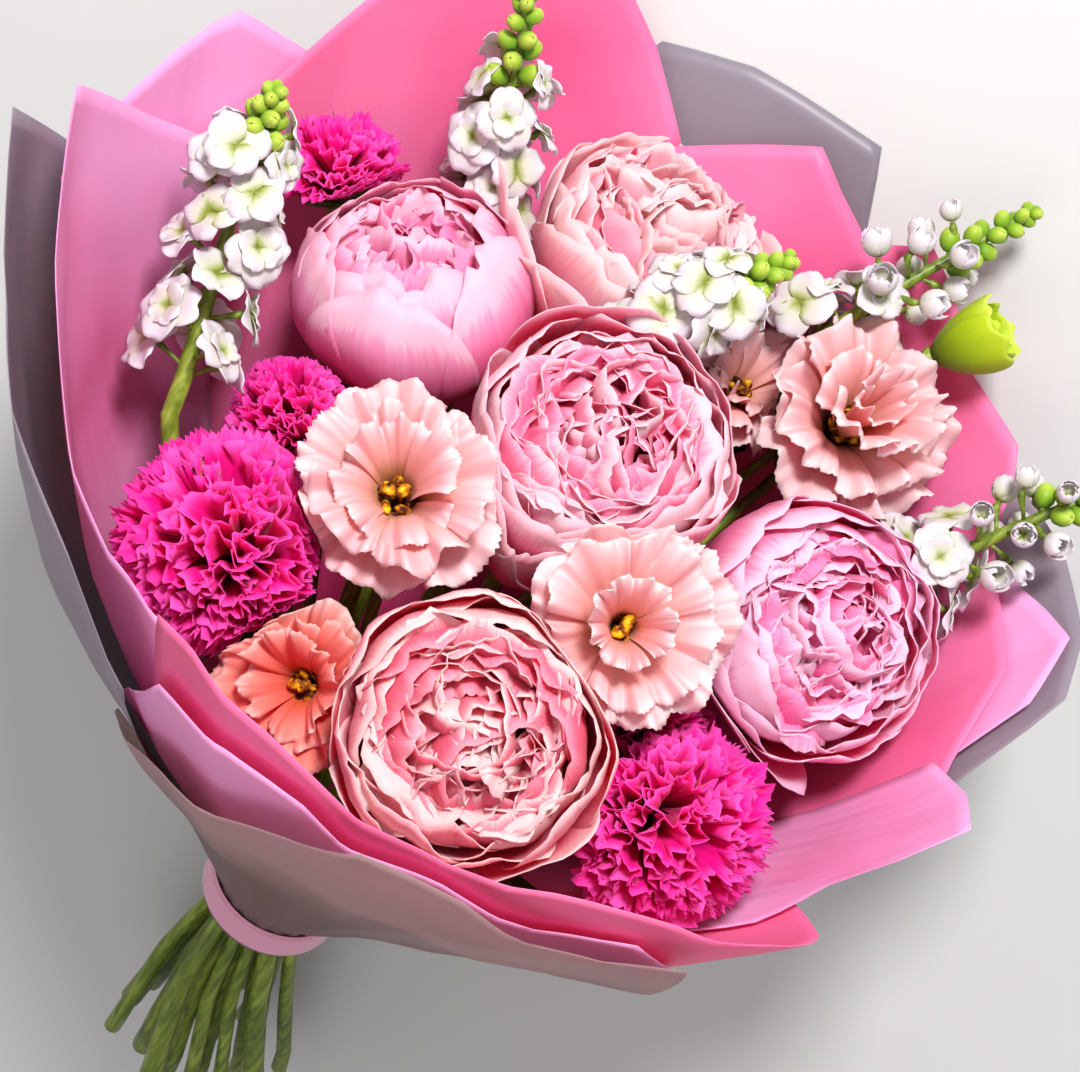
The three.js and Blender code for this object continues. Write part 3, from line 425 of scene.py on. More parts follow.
def stem_line(node, stop):
    """The middle of a node's stem from its cut end up to height stop, read off the frame."""
    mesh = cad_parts[node].data
    points = [stand_up @ vert.co for vert in mesh.vertices]
    edges = [(points[edge.vertices[0]], points[edge.vertices[1]]) for edge in mesh.edges]
    line = []
    height = min(point.z for point in points) + FIRST_CUT
    while height < stop:
        hits = [a.lerp(b, (height - a.z) / (b.z - a.z))
                for a, b in edges if (a.z - height) * (b.z - height) < 0]
        if line:
            expected = line[-1] * 2 - line[-2] if len(line) > 1 else line[-1]
            hits = [hit for hit in hits if (hit - expected).to_2d().length < STEM_SIDESTEP]
        if hits:
            line.append(sum(hits, Vector()) / len(hits))
        height += STEM_STEP
    line[0].z -= END_GAP
    return line


GIRTH_HEIGHTS = (-138, -60, 8)
GIRTHS = (1.5, 1.3, 1.0)


def girth(height):
    """How much thicker a stem is towards its cut end."""
    return along_rows(GIRTH_HEIGHTS, GIRTHS, height)


def add_leaf(bm, foot, tip, width, up, rnd):
    """A lance-shaped leaf with a folded midrib and a waved rim, arched from foot to tip."""
    reach = (tip - foot).length
    edge = (tip - foot).cross(up).normalized()
    rise = edge.cross(tip - foot).normalized()
    phase = rnd.uniform(0, 6)

    def form(u, v):
        half = width * (0.1 + 0.9 * math.sin(math.pi * min(1, 0.04 + 0.96 * v)) ** 0.8) * (1 - v ** 6)
        wave = 1.2 * math.sin(9 * v + phase) * abs(u)
        height = 0.288 * reach * v * (1 - v) + 0.3 * abs(u) * half + wave
        return foot.lerp(tip, v) + edge * (u * half) + rise * height

    add_blade(bm, 8, 18, rnd.random(), form, LEAF)


# Leaves that stand among the stems below the heads: owner, height on its stem, tip, side and width.
LEAVES = [
    ("peony_1", 190, (70, -30, 262), (18, 40, 40), 9),
    ("peony_4", 190, (-92, -92, 262), (-20, -30, 40), 9),
    ("peony_5", 170, (-72, 92, 214), (-30, 30, 30), 9),
    ("peony_2", 200, (22, -88, 276), (10, -30, 40), 9),
    ("carnation_3", 150, (-128, 76, 216), (0, 40, 30), 7),
    ("carnation_1", 150, (134, 22, 226), (30, 0, 40), 7),
    ("lisianthus_1", 190, (78, 66, 204), (30, 10, 40), 7),
    ("lisianthus_3", 220, (-134, -96, 276), (-40, 0, 40), 8),
    ("carnation_2", 200, (136, -120, 268), (20, -40, 40), 7),
]
for name, bloom in BLOOMS.items():
    kind = name.split("_")[0]
    rnd = random.Random(bloom["spin"] * 7)
    node = f"{name}_stem"
    radius = STEM_RADII[kind]
    foot = bloom["at"] - bloom["face"] * (ROOT_DEPTH[kind] * bloom["R"])
    cup = CALYX_RADIUS[kind] * bloom["R"]
    line = stem_line(node, foot.z - cup - 4)
    line += [foot - bloom["face"] * cup * 0.9, foot + bloom["face"] * 1.5]
    radii = [radius * girth(point.z) * (1 + 0.05 * math.sin(1.7 * k + bloom["spin"]))
             for k, point in enumerate(line)]
    radii[-2:] = [radius * 1.25, cup]
    bm = new_blades()
    add_tube(bm, line, radii, PITH)
    to_bunch = facing_matrix(bloom)
    for k in range(0 if kind == "lime" else SEPALS):
        turn = 2 * math.pi * k / SEPALS + rnd.uniform(-0.15, 0.15)

        def sepal(u, v):
            polar = math.radians(14 + 44 * v)
            wide = 0.62 * math.sin(math.pi * (0.16 + 0.8 * v)) * u
            ball = bloom["R"] * (0.95 - 0.04 * v * v) + 0.6 * (1 - u * u)
            point = ring_point(math.sin(polar), turn + wide, -math.cos(polar) * ROOT_DEPTH[kind])
            return held_in(to_bunch @ (point * ball), name)

        add_blade(bm, 6, 6, rnd.random(), sepal, LEAF)
    for owner, height, tip, up, width in LEAVES:
        if owner == name:
            start = min(line, key=lambda p: abs(p.z - height))
            add_leaf(bm, start, Vector(tip), width, Vector(up), rnd)
    finish_piece(bm, f"{name}_green", [node], [stem_green, pith, leaf_green])


# ---- Peonies -----------------------------------------------------------------------------------
# A peony is a ball of soft satin petals in whorls: broad cupped guards outside, narrower ruffled
# ones inside, and a tuft of crinkled petals with pale tips in the opening.
def petal_material(name, stops, glow_colour, rough=0.55, veins=26.0, crease=0.00035,
                   translucency=0.3):
    """A petal: its colours run from root to rim, with fine streaks and creases along it."""
    material, tree = new_material(name)
    across = add_node(tree, "Attribute", {"attribute_name": "across"}).outputs["Fac"]
    along = add_node(tree, "Attribute", {"attribute_name": "along"}).outputs["Fac"]
    tone = add_node(tree, "Attribute", {"attribute_name": "tone"}).outputs["Fac"]
    streak_u = add_node(tree, "Math", {"operation": "MULTIPLY", 1: veins}, {0: across})
    streak_v = add_node(tree, "Math", {"operation": "MULTIPLY", 1: 2.2}, {0: along})
    streak_w = add_node(tree, "Math", {"operation": "MULTIPLY", 1: 97.0}, {0: tone})
    streak_at = add_node(tree, "CombineXYZ", links={"X": streak_u, "Y": streak_v, "Z": streak_w})
    streaks = add_node(tree, "TexNoise", {"Scale": 1.0, "Detail": 3.0, "Roughness": 0.6},
                       {"Vector": streak_at})
    shift = add_node(tree, "MapRange", {"To Min": -0.1, "To Max": 0.1}, {"Value": streaks})
    age = add_node(tree, "MapRange", {"To Min": -0.12, "To Max": 0.05, "clamp": False}, {"Value": tone})
    moved = add_node(tree, "Math", {"operation": "ADD"}, {0: shift, 1: age})
    where = add_node(tree, "Math", {"operation": "ADD"}, {0: along, 1: moved})
    colour = add_node(tree, "ValToRGB", links={"Fac": where}, stops=stops)
    bump = add_node(tree, "Bump", {"Strength": 0.5, "Distance": crease}, {"Height": streaks})
    satin = add_node(tree, "BsdfPrincipled",
                     {"Roughness": rough, "Specular IOR Level": 0.3, "Sheen Weight": 0.1,
                      "Sheen Roughness": 0.4},
                     {"Base Color": colour, "Normal": bump})
    tinted = add_node(tree, "Mix", {"data_type": "RGBA", "blend_type": "MULTIPLY", 0: 0.6,
                                    7: linear(glow_colour)}, {6: colour})
    glow = add_node(tree, "BsdfTranslucent", links={"Color": tinted.outputs[2]})
    both = add_node(tree, "MixShader", {0: translucency}, {1: satin, 2: glow})
    add_node(tree, "OutputMaterial", links={"Surface": both})
    return material


# Peony petal: soft satin that light comes through, deep pink at its root, partly its own colour and partly
# painted shade for the hollows round the roots, and pale at its rim.
PEONY_COLOURS = {
    "peony_1": [(0.0, "#EA1468"), (0.4, "#F25098"), (0.8, "#FC88C4"), (0.95, "#FFB8E0"), (1.0, "#FFDCF0")],
    "peony_2": [(0.0, "#F00048"), (0.4, "#F83478"), (0.75, "#FF7CB0"), (0.92, "#FFB0D2"), (1.0, "#FFE8F2")],
    "peony_3": [(0.0, "#F43C78"), (0.4, "#FC7CA4"), (0.75, "#FFA8C4"), (0.92, "#FFCCDA"), (1.0, "#FFF0F0")],
    "peony_4": [(0.0, "#F00054"), (0.4, "#F82C84"), (0.75, "#FF70B8"), (0.92, "#FFACDA"), (1.0, "#FFE6FC")],
    "peony_5": [(0.0, "#F43050"), (0.4, "#FC5C86"), (0.8, "#FF8CAC"), (0.93, "#FFB8CA"), (1.0, "#FFEEEC")],
}
# The turn in radians from one petal to the next, as they grow round a real flower.
GOLDEN_TURN = 2.39996
# A peony is a little flatter than a ball.
FLATTENED = 0.86
WHORLS = 8
OUTER_WHORLS = 3
HEART_PETALS = 34
CLOSED_HEART_PETALS = 10
# The broad guard petals that stand off a peony: their side of the picture, right and up, and reach.
GUARDS = {
    "peony_2": [(-0.85, -0.5, 1.0), (-0.3, -0.95, 1.0)],
    "peony_3": [(-1.0, -0.25, 1.0), (-0.6, -0.8, 1.0)],
    "peony_4": [(-0.95, -0.3, 0.7), (-0.6, -0.8, 0.25)],
}


def peony_petals(name):
    bloom = BLOOMS[name]
    R, opening = bloom["R"], bloom["open"]
    rnd = random.Random(bloom["spin"])
    to_bunch = facing_matrix(bloom)
    bm = new_blades()

    def shell(azimuth, half, low, high, rho, wave, flare, lift, pale):
        """A cupped petal on a ball of radius rho: half its width and its reach in degrees, the
        wave of its rim, how far it flares and lifts off the ball, and how much paler it is."""
        waves = rnd.uniform(1.6, 2.6)
        phase = rnd.uniform(0, 6)
        notch_at = rnd.uniform(-0.4, 0.4)
        skew = rnd.uniform(-0.08, 0.08)
        seed = rnd.uniform(0, 90)

        def form(u, v):
            jag = 0.018 * noise.noise(Vector((9 * u, 0, seed)))
            jag += 0.02 * noise.noise(Vector((3.2 * u, 4, seed)))
            dent = 0.05 * math.exp(-((u - notch_at) / 0.13) ** 2)
            reach = 1 - 0.16 * u * u + skew * u - (dent + jag) * v
            polar = math.radians(low + (high - low) * v * reach)
            width = 0.5 + 0.5 * math.sin(math.pi * (0.1 + 0.72 * v))
            turn = math.radians(azimuth + half * u * width)
            ruffle = wave * v * v * (math.sin(waves * math.pi * u + phase) +
                                     0.28 * math.sin(2.7 * waves * math.pi * u + 2 * phase))
            curl = flare * v * v + lift * R * max(0, (v - 0.72) / 0.28) ** 2 + 0.02 * R * abs(u) ** 3 * v
            out = rho + ruffle + curl + 0.6 * noise.noise(Vector((2 * u, 3 * v, seed)))
            point = ring_point(math.sin(polar), turn, -math.cos(polar) * FLATTENED) * out
            return held_in(to_bunch @ point, name)

        add_blade(bm, 18, 12, rnd.random() + pale, form)

    for k in range(WHORLS):
        deep = k / (WHORLS - 1)
        count = 5 if k < OUTER_WHORLS else 6
        for i in range(count):
            turn = 360 * i / count + 37 * k + rnd.uniform(-7, 7)
            high = opening + 40 * deep + rnd.uniform(-6, 6)
            if name == "peony_1":
                high = opening + 22 * deep + rnd.uniform(-9, 5)
            rho = R * (0.985 - 0.5 * deep - 0.03 * (i % 2))
            wave = R * (0.02 + 0.035 * deep)
            lift = rnd.uniform(-0.01, 0.05)
            pale = 0.9 if k < OUTER_WHORLS else 0
            shell(turn, 47 + 9 * deep, 15, min(166, high), rho, wave, 0, lift, pale)
    for right, up, reach in GUARDS.get(name, []):
        aside = to_bunch.to_3x3().inverted() @ (picture_right * right + picture_up * up)
        azimuth = math.degrees(math.atan2(aside.y, aside.x))
        rho, flare = R * (1.04 + 0.12 * reach), R * 0.26 * reach
        shell(azimuth, 42, 20, 104, rho, 0.012 * R, flare, 0.08, 1.1)

    def heart_petal(polar, turn, size, width, twist, roll):
        """A cupped petal of the heart, from low in the middle out to a point under the opening."""
        tip = ring_point(math.sin(polar), turn, math.cos(polar) * FLATTENED) * size
        root = ring_point(0.08 * R, turn, -0.3 * R)
        axis = (tip - root).normalized()
        wide = Vector((-math.sin(turn), math.cos(turn), 0.0))
        wide = (Matrix.Rotation(twist, 3, axis) @ wide).normalized()
        out = wide.cross(axis)
        phase, waves = rnd.uniform(0, 6), rnd.uniform(1.2, 2.0)
        cup = rnd.uniform(0.3, 0.6)
        notch_at = rnd.uniform(-0.5, 0.5)
        seed = rnd.uniform(0, 90)

        def form(u, v):
            half = width * (0.25 + 0.75 * math.sin(math.pi / 2 * min(1, v * 1.2)))
            jag = 0.06 * noise.noise(Vector((7 * u, 1, seed)))
            length = v * (1 - 0.22 * u * u - jag * v - 0.08 * math.exp(-((u - notch_at) / 0.14) ** 2) * v)
            ruffle = 0.035 * R * v * v * (math.sin(waves * math.pi * u + phase) +
                                          0.4 * math.sin(3 * waves * math.pi * u + phase * 2))
            bend = cup * width * (1 - u * u) * v + roll * R * v ** 3
            point = root.lerp(tip, length) + wide * (u * half) + out * (ruffle + bend)
            return held_in(to_bunch @ point, name)

        add_blade(bm, 14, 11, rnd.uniform(0.2, 2.0), form)

    mouth = math.radians(180 - opening - 8)
    hearts = CLOSED_HEART_PETALS if name == "peony_1" else HEART_PETALS
    for k in range(hearts):
        share = (k + 0.5) / hearts
        polar = mouth * math.sqrt(share) * 0.96
        turn = k * GOLDEN_TURN + rnd.uniform(-0.2, 0.2)
        twist = rnd.uniform(-0.35, 0.35) if rnd.random() < 0.6 else rnd.uniform(-1.2, 1.2)
        roll = rnd.uniform(-0.42, -0.2) if share < 0.3 else rnd.uniform(-0.3, 0.26)
        size = R * rnd.uniform(0.68, 0.86) * (0.92 + 0.16 * share)
        heart_petal(polar, turn, size, R * rnd.uniform(0.24, 0.42), twist, roll)
    colours = PEONY_COLOURS[name]
    satin = petal_material(f"{name}_satin_petal", colours, "#FF5C8C", translucency=0.42)
    finish_piece(bm, f"{name}_bloom", [f"{name}_petals"], [satin], wall=0.35)


for name in PEONY_COLOURS:
    peony_petals(name)


# ---- Lisianthus --------------------------------------------------------------------------------
# A double lisianthus is a funnel of thin blush petals with a ruffled, finely toothed rim. Its
# throat is apricot to maroon, with a two-lobed stigma among seven stamens, all dusted yellow.
#
# Lisianthus petal: thin matt tissue, maroon and apricot in the throat, then blush or coral.
BLUSH_STOPS = [(0.0, "#4A1204"), (0.12, "#A8521A"), (0.24, "#E8A470"), (0.4, "#FFC8BC"),
               (0.75, "#FFD8DC"), (1.0, "#FFF6F6")]
CORAL_STOPS = [(0.0, "#4A1204"), (0.12, "#A83418"), (0.27, "#F06C40"), (0.5, "#FF8474"),
               (0.8, "#FFA498"), (1.0, "#FFE2DA")]
blush = petal_material("blush_lisianthus_petal", BLUSH_STOPS, "#FFB0B0", rough=0.6, veins=42.0,
                       crease=0.0005, translucency=0.4)
coral = petal_material("coral_lisianthus_petal", CORAL_STOPS, "#FF8468", rough=0.6, veins=42.0,
                       crease=0.0005, translucency=0.4)


# Thin petals bend away from their neighbours only within this many millimetres.
THIN_SKIN = 6.0


def lisianthus_petals(name):
    bloom = BLOOMS[name]
    R = bloom["R"]
    rnd = random.Random(bloom["spin"])
    to_bunch = facing_matrix(bloom)
    bm = new_blades()
    rows = [
        {"n": 5, "reach": 1.0, "rise": 0.02, "half": 45, "turn": 0, "start": 0.07},
        {"n": 5, "reach": 0.86, "rise": 0.2, "half": 44, "turn": 36, "start": 0.05},
        {"n": 4, "reach": 0.62, "rise": 0.36, "half": 50, "turn": 15, "start": 0.04},
    ]
    if name == "lisianthus_2":
        rows[2] = {"n": 4, "reach": 0.46, "rise": 0.5, "half": 46, "turn": 15, "start": 0.04}
    if name == "lisianthus_3":
        rows = rows[:1] + [
            {"n": 5, "reach": 0.84, "rise": 0.28, "half": 46, "turn": 36, "start": 0.05},
            {"n": 4, "reach": 0.58, "rise": 0.52, "half": 54, "turn": 15, "start": 0.04},
            {"n": 3, "reach": 0.27, "rise": 0.6, "half": 68, "turn": 70, "start": 0.03},
        ]
    for k, row in enumerate(rows):
        for i in range(row["n"]):
            azimuth = 360 * i / row["n"] + row["turn"] + rnd.uniform(-8, 8)
            phase, waves = rnd.uniform(0, 6), rnd.uniform(1.9, 2.8)
            loose = 0.12 if k < 2 else 0.18
            rise = row["rise"] + rnd.uniform(-loose, loose)
            reach = row["reach"] * rnd.uniform(0.97 - loose, 1.05)
            tuck = 0.02 * (i % 2)
            seed = rnd.uniform(0, 90)

            def form(u, v):
                teeth = 0.032 * abs((u * 11 + seed) % 1 - 0.5) * 2 * v ** 8
                jag = 0.12 * noise.noise(Vector((3 * u, 2, seed))) * v ** 3
                out = R * (row["start"] + (reach - row["start"]) * v ** 1.12)
                out *= 1 - 0.1 * u * u * v - teeth - jag
                turn = math.radians(azimuth + u * row["half"] * (1 - 0.08 * v))
                fold = 0.14 * v ** 2.2 * (math.sin(waves * math.pi * u + phase) +
                                          0.25 * math.sin(2.6 * waves * math.pi * u + 2 * phase) +
                                          0.9 * noise.noise(Vector((2.4 * u, 1.2 * v, seed))))
                crimp = 0.07 * v ** 4 * noise.noise(Vector((9 * u, 0.6 * v, seed)))
                lip = -0.12 * max(0, v - 0.78) * (1 if k == 0 else 0.3)
                height = R * (-0.58 + (rise + 0.58) * math.sin(math.pi / 2 * v) + fold + crimp + lip - tuck)
                return held_in(to_bunch @ ring_point(out, turn, height), name, THIN_SKIN)

            add_blade(bm, 44, 14, rnd.random(), form)
    skin = coral if name == "lisianthus_4" else blush
    finish_piece(bm, f"{name}_bloom", [f"{name}_petals"], [skin], wall=0.3)


# Stigma and anthers: dusty pollen yellow, mottled with brown.
pollen, tree = new_material("pollen_yellow_anther")
place = add_node(tree, "TexCoord").outputs["Object"]
dust = add_node(tree, "TexNoise", {"Scale": 260.0, "Detail": 3.0}, {"Vector": place})
yellow = add_node(tree, "ValToRGB", links={"Fac": dust},
                  stops=[(0.42, "#3A1404"), (0.52, "#A86408"), (0.64, "#F0BE1C")])
bump = add_node(tree, "Bump", {"Strength": 0.6, "Distance": 0.0006}, {"Height": dust})
dusty = add_node(tree, "BsdfPrincipled", {"Roughness": 0.7, "Specular IOR Level": 0.2},
                 {"Base Color": yellow, "Normal": bump})
add_node(tree, "OutputMaterial", links={"Surface": dusty})


STAMENS = 7
# Half the length, width and height of a lobe of the stigma and of an anther, for a bloom of radius 1.
STIGMA_LOBE = (0.09, 0.06, 0.055)
ANTHER = (0.075, 0.04, 0.042)


def lisianthus_heart(name):
    bloom = BLOOMS[name]
    R = bloom["R"]
    rnd = random.Random(bloom["spin"] + 500)
    to_bunch = facing_matrix(bloom)
    bm = bmesh.new()
    lobes = [(Vector((0.05, 0, -0.1)), STIGMA_LOBE), (Vector((-0.05, 0.01, -0.1)), STIGMA_LOBE)]
    for k in range(STAMENS):
        turn = 2 * math.pi * k / STAMENS + rnd.uniform(-0.2, 0.2)
        out = rnd.uniform(0.12, 0.17)
        lobes.append((ring_point(out, turn, rnd.uniform(-0.27, -0.16)), ANTHER))
    for centre, size in lobes:
        spin = Matrix.Rotation(rnd.uniform(0, 6), 4, "Z") @ Matrix.Rotation(rnd.uniform(-0.6, 0.6), 4, "Y")
        place = Matrix.Translation(centre * R) @ spin @ Matrix.Diagonal((*[s * R for s in size], 1))
        bmesh.ops.create_uvsphere(bm, u_segments=14, v_segments=9, radius=1, matrix=to_bunch @ place)
        stalk_foot = Vector((centre.x * 0.4 * R, centre.y * 0.4 * R, -0.56 * R))
        add_tube(bm, [to_bunch @ stalk_foot, to_bunch @ (centre * R)], [0.022 * R, 0.016 * R])
    finish_piece(bm, f"{name}_heart", [], [pollen])


for name in BLOOMS:
    if name.startswith("lisianthus"):
        lisianthus_petals(name)
        lisianthus_heart(name)


# ---- Carnations --------------------------------------------------------------------------------
# A carnation is a dense pompon of fan-shaped petals with zigzag rims, which grow in a spiral
# from the calyx; the outer ones lie down past its sides.
#
# Carnation petal: matt tissue, dark magenta at its root and hot pink at its rim.
CARNATION_STOPS = [(0.0, "#A8004C"), (0.45, "#EC0080"), (0.8, "#FF08A4"), (1.0, "#FF5CCC")]
magenta = petal_material("magenta_carnation_petal", CARNATION_STOPS, "#FF2C7C", rough=0.65, veins=30.0,
                         translucency=0.34)


def carnation_petals(name):
    bloom = BLOOMS[name]
    R = bloom["R"]
    rnd = random.Random(bloom["spin"])
    to_bunch = facing_matrix(bloom)
    bm = new_blades()
    petals = int(30 + R * 0.8)
    widest = math.radians(104)
    for k in range(petals):
        share = (k + 0.5) / petals
        polar = widest * share ** 0.62
        turn = k * GOLDEN_TURN
        tip = ring_point(math.sin(polar), turn, math.cos(polar) * 0.8) * R * rnd.uniform(0.86, 1.0)
        root = ring_point(0.06 * R, turn, -0.5 * R)
        axis = (tip - root).normalized()
        wide = Vector((-math.sin(turn), math.cos(turn), 0))
        wide = (Matrix.Rotation(rnd.uniform(-0.9, 0.9) * (1.15 - share), 3, axis) @ wide).normalized()
        out = wide.cross(axis)
        width = R * rnd.uniform(0.34, 0.46)
        phase, waves = rnd.uniform(0, 6), rnd.uniform(2.0, 3.2)
        roll = rnd.uniform(-0.1, 0.22)
        seed = rnd.uniform(0, 90)

        def form(u, v):
            half = width * (0.08 + 0.92 * v ** 1.5)
            teeth = 0.1 * abs((u * 7 + seed) % 1 - 0.5) * 2 * v ** 4
            length = v * (1 - 0.16 * u * u - teeth - 0.05 * noise.noise(Vector((3 * u, 5, seed))))
            ruffle = 0.085 * R * v ** 2.5 * (math.sin(waves * math.pi * u + phase) +
                                             0.5 * math.sin(2.3 * waves * math.pi * u + 3 * phase))
            point = root.lerp(tip, length) + wide * (u * half) + out * (ruffle + roll * R * v ** 3)
            return held_in(to_bunch @ point, name, THIN_SKIN)

        add_blade(bm, 28, 7, rnd.random(), form)
    finish_piece(bm, f"{name}_bloom", [f"{name}_petals"], [magenta], wall=0.3)


for name in BLOOMS:
    if name.startswith("carnation"):
        carnation_petals(name)


# ---- The lime bud ------------------------------------------------------------------------------
# A half-open lisianthus bud on its own stem: seven broad lime petals wrapped into a cup, with a
# soft waved rim. Its petal is smooth and thin, so that the cup glows a little.
LIME_STOPS = [(0.0, "#6E8C10"), (0.4, "#A4C414"), (0.8, "#C6DC1E"), (1.0, "#E0EE5A")]
lime = petal_material("lime_bud_petal", LIME_STOPS, "#C8E030", rough=0.5, translucency=0.3)
bud = BLOOMS["lime_bud"]
bud_to_bunch = facing_matrix(bud)
R = bud["R"]
rnd = random.Random(bud["spin"])
bm = new_blades()
LIME_PETALS = 7
for k in range(LIME_PETALS):
    azimuth = 137.5 * k
    inner = k / (LIME_PETALS - 1)
    phase, seed = rnd.uniform(0, 6), rnd.uniform(0, 90)

    def bud_petal(u, v):
        out = R * (0.16 + (0.62 - 0.28 * inner) * math.sin(math.pi * min(1, 0.62 * v + 0.02)) ** 0.8)
        out += R * 0.16 * v ** 4 * (1 - inner)
        narrow = 0.6 + 0.4 * math.sin(math.pi * min(1, 0.2 + v * 0.7))
        turn = math.radians(azimuth + u * (62 + 18 * inner) * narrow)
        wave = 0.07 * v ** 3 * math.sin(2.2 * math.pi * u + phase)
        wave += 0.05 * noise.noise(Vector((4 * u, 0, seed))) * v
        height = R * (-0.72 + (1.6 - 0.1 * inner) * v * (1 - 0.13 * u * u) + wave)
        return bud_to_bunch @ ring_point(out, turn, height)

    add_blade(bm, 16, 14, rnd.random(), bud_petal)
finish_piece(bm, "lime_bud_bloom", ["lime_bud_petals"], [lime], wall=0.35)


# ---- Stock -------------------------------------------------------------------------------------
# A spray of stock: a ribbed green stem with white four-petalled florets on short stalks, and round
# green buds close together at its tip.
SPRAYS = {
    "stock_1": {"seed": 51, "path": [(148, 20, 288), (164, -10, 330), (174, -26, 368), (177, -30, 396)]},
    "stock_2": {"seed": 52, "path": [(80, -128, 300), (98, -131, 345), (112, -135, 392), (128, -140, 436)]},
    "stock_3": {"seed": 53, "path": [(12, -92, 316), (0, -92, 372), (-14, -104, 392), (-28, -122, 408)]},
    "stock_4": {"seed": 54, "path": [(-56, -164, 334), (-66, -163, 380), (-84, -186, 412),
                                     (-104, -214, 442)]},
    "stock_5": {"seed": 55, "path": [(-142, -94, 296), (-158, -100, 345), (-178, -116, 380),
                                     (-200, -134, 406)]},
}
# On these two the upper florets are still closed into round white buds.
HALF_CLOSED = ("stock_4", "stock_5")
FLORETS = 22
BUDS = 17
# Where along the spray its florets end and its green buds start, as a share of its length.
FLORETS_END = 0.7
BUDS_START = 0.66
STEM_PARTS = 14
FARTHEST_FLORET = 38
# Stock floret: matt white tissue, greenish in its eye. Its bud: a smooth, waxy lime green.
WHITE_STOPS = [(0.0, "#8E9C30"), (0.12, "#C0C880"), (0.27, "#E4E4D0"), (0.75, "#EAE4EA"), (1.0, "#F6F0F8")]
white = petal_material("white_stock_petal", WHITE_STOPS, "#FFF4F0", veins=12.0, translucency=0.34)
BUD_STOPS = [(0.0, "#4E8A1C"), (0.5, "#8CB028"), (1.0, "#CCDC58")]
bud_green = petal_material("green_stock_bud", BUD_STOPS, "#C8DC50", 0.45, veins=8.0, translucency=0.12)


def path_point(path, share):
    """A point on the smooth curve through the path, and the curve's direction there."""
    last = len(path) - 1
    place = min(share, 0.9999) * last
    k = int(place)
    knots = [Vector(path[max(0, min(last, k + step))]) for step in (-1, 0, 1, 2)]
    t = place - k
    a, b, c, d = knots
    bend, twist = 2 * a - 5 * b + 4 * c - d, 3 * b - a - 3 * c + d
    return 0.5 * (2 * b + (c - a) * t + bend * t * t + twist * t ** 3), (c - b).normalized()


def clear_of_blooms(point, need):
    """A floret's middle, moved out of the blooms and off the wrapper."""
    for _ in range(8):
        for bloom in BLOOMS.values():
            off = point - bloom["at"]
            if off.length < bloom["R"] + need:
                point = bloom["at"] + off.normalized() * (bloom["R"] + need)
        out = math.hypot(point.x, point.y)
        wall = inner_radius(point.z, math.degrees(math.atan2(point.y, point.x)) % 360) - 2.0 * need
        if point.z < 398 and out > wall:
            point = Vector((point.x * wall / out, point.y * wall / out, point.z))
    return point


def off_stem(ahead, turn, lean):
    """The way a stalk grows: round the stem by a turn, leant ahead along it."""
    a = ahead.cross(Vector((0.2, 0.3, 1))).normalized()
    return (a * math.cos(turn) + ahead.cross(a) * math.sin(turn) + ahead * lean).normalized()


def on_stalk(place, look):
    """The matrix that puts a floret or bud at a place, with its own axis along look."""
    x = look.cross(Vector((0.3, 1, 0.2))).normalized()
    return standing_at(place, x, look.cross(x), look)


def add_floret(bm, to_bunch, size, globe, rnd):
    """Four waved petals, often with four smaller ones inside; closed into a ball if globe."""
    for layer in range(1 if rnd.random() < 0.5 and not globe else 2):
        for i in range(4):
            azimuth = math.pi / 2 * i + layer * 0.8 + rnd.uniform(-0.2, 0.2)
            long = size * (1 - 0.38 * layer) * rnd.uniform(0.9, 1.08)
            phase = rnd.uniform(0, 6)
            rise = 0.1 + 0.34 * layer + rnd.uniform(-0.1, 0.16)

            def open_petal(u, v):
                half = u * long * 0.56 * math.sin(math.pi * (0.12 + 0.68 * v)) ** 0.75
                reach = long * v * (1 - 0.16 * u * u - 0.07 * math.exp(-(u / 0.25) ** 2) * v)
                height = long * (rise * v - 0.2 * v ** 3) + 0.1 * long * v * v * math.sin(3.2 * u + phase)
                return to_bunch @ (ring_point(reach, azimuth, height) +
                                   ring_point(half, azimuth + math.pi / 2, 0))

            def closed_petal(u, v):
                polar = math.radians(176 - 128 * v + 7 * math.sin(3 * u + phase))
                turn = azimuth + u * 0.95 * math.sin(math.pi * (0.08 + 0.8 * v))
                ball = size * (0.42 - 0.08 * layer)
                return to_bunch @ (ring_point(math.sin(polar), turn, 1.1 + 1.1 * math.cos(polar)) * ball)

            add_blade(bm, 8, 6, rnd.random(), closed_petal if globe else open_petal)


def add_bud(bm, to_bunch, size, rnd):
    """A round bud of four sepals that close over its tip."""
    for i in range(4):
        azimuth = math.pi / 2 * i + rnd.uniform(-0.1, 0.1)

        def sepal(u, v):
            polar = math.radians(178 - 174 * v)
            turn = azimuth + u * 1.35 * math.sin(math.pi * (0.08 + 0.86 * v))
            ball = size * (0.92 + 0.1 * (1 - u * u)) * math.sin(polar)
            return to_bunch @ ring_point(ball, turn, size * 1.3 * math.cos(polar))

        add_blade(bm, 5, 6, rnd.random(), sepal)


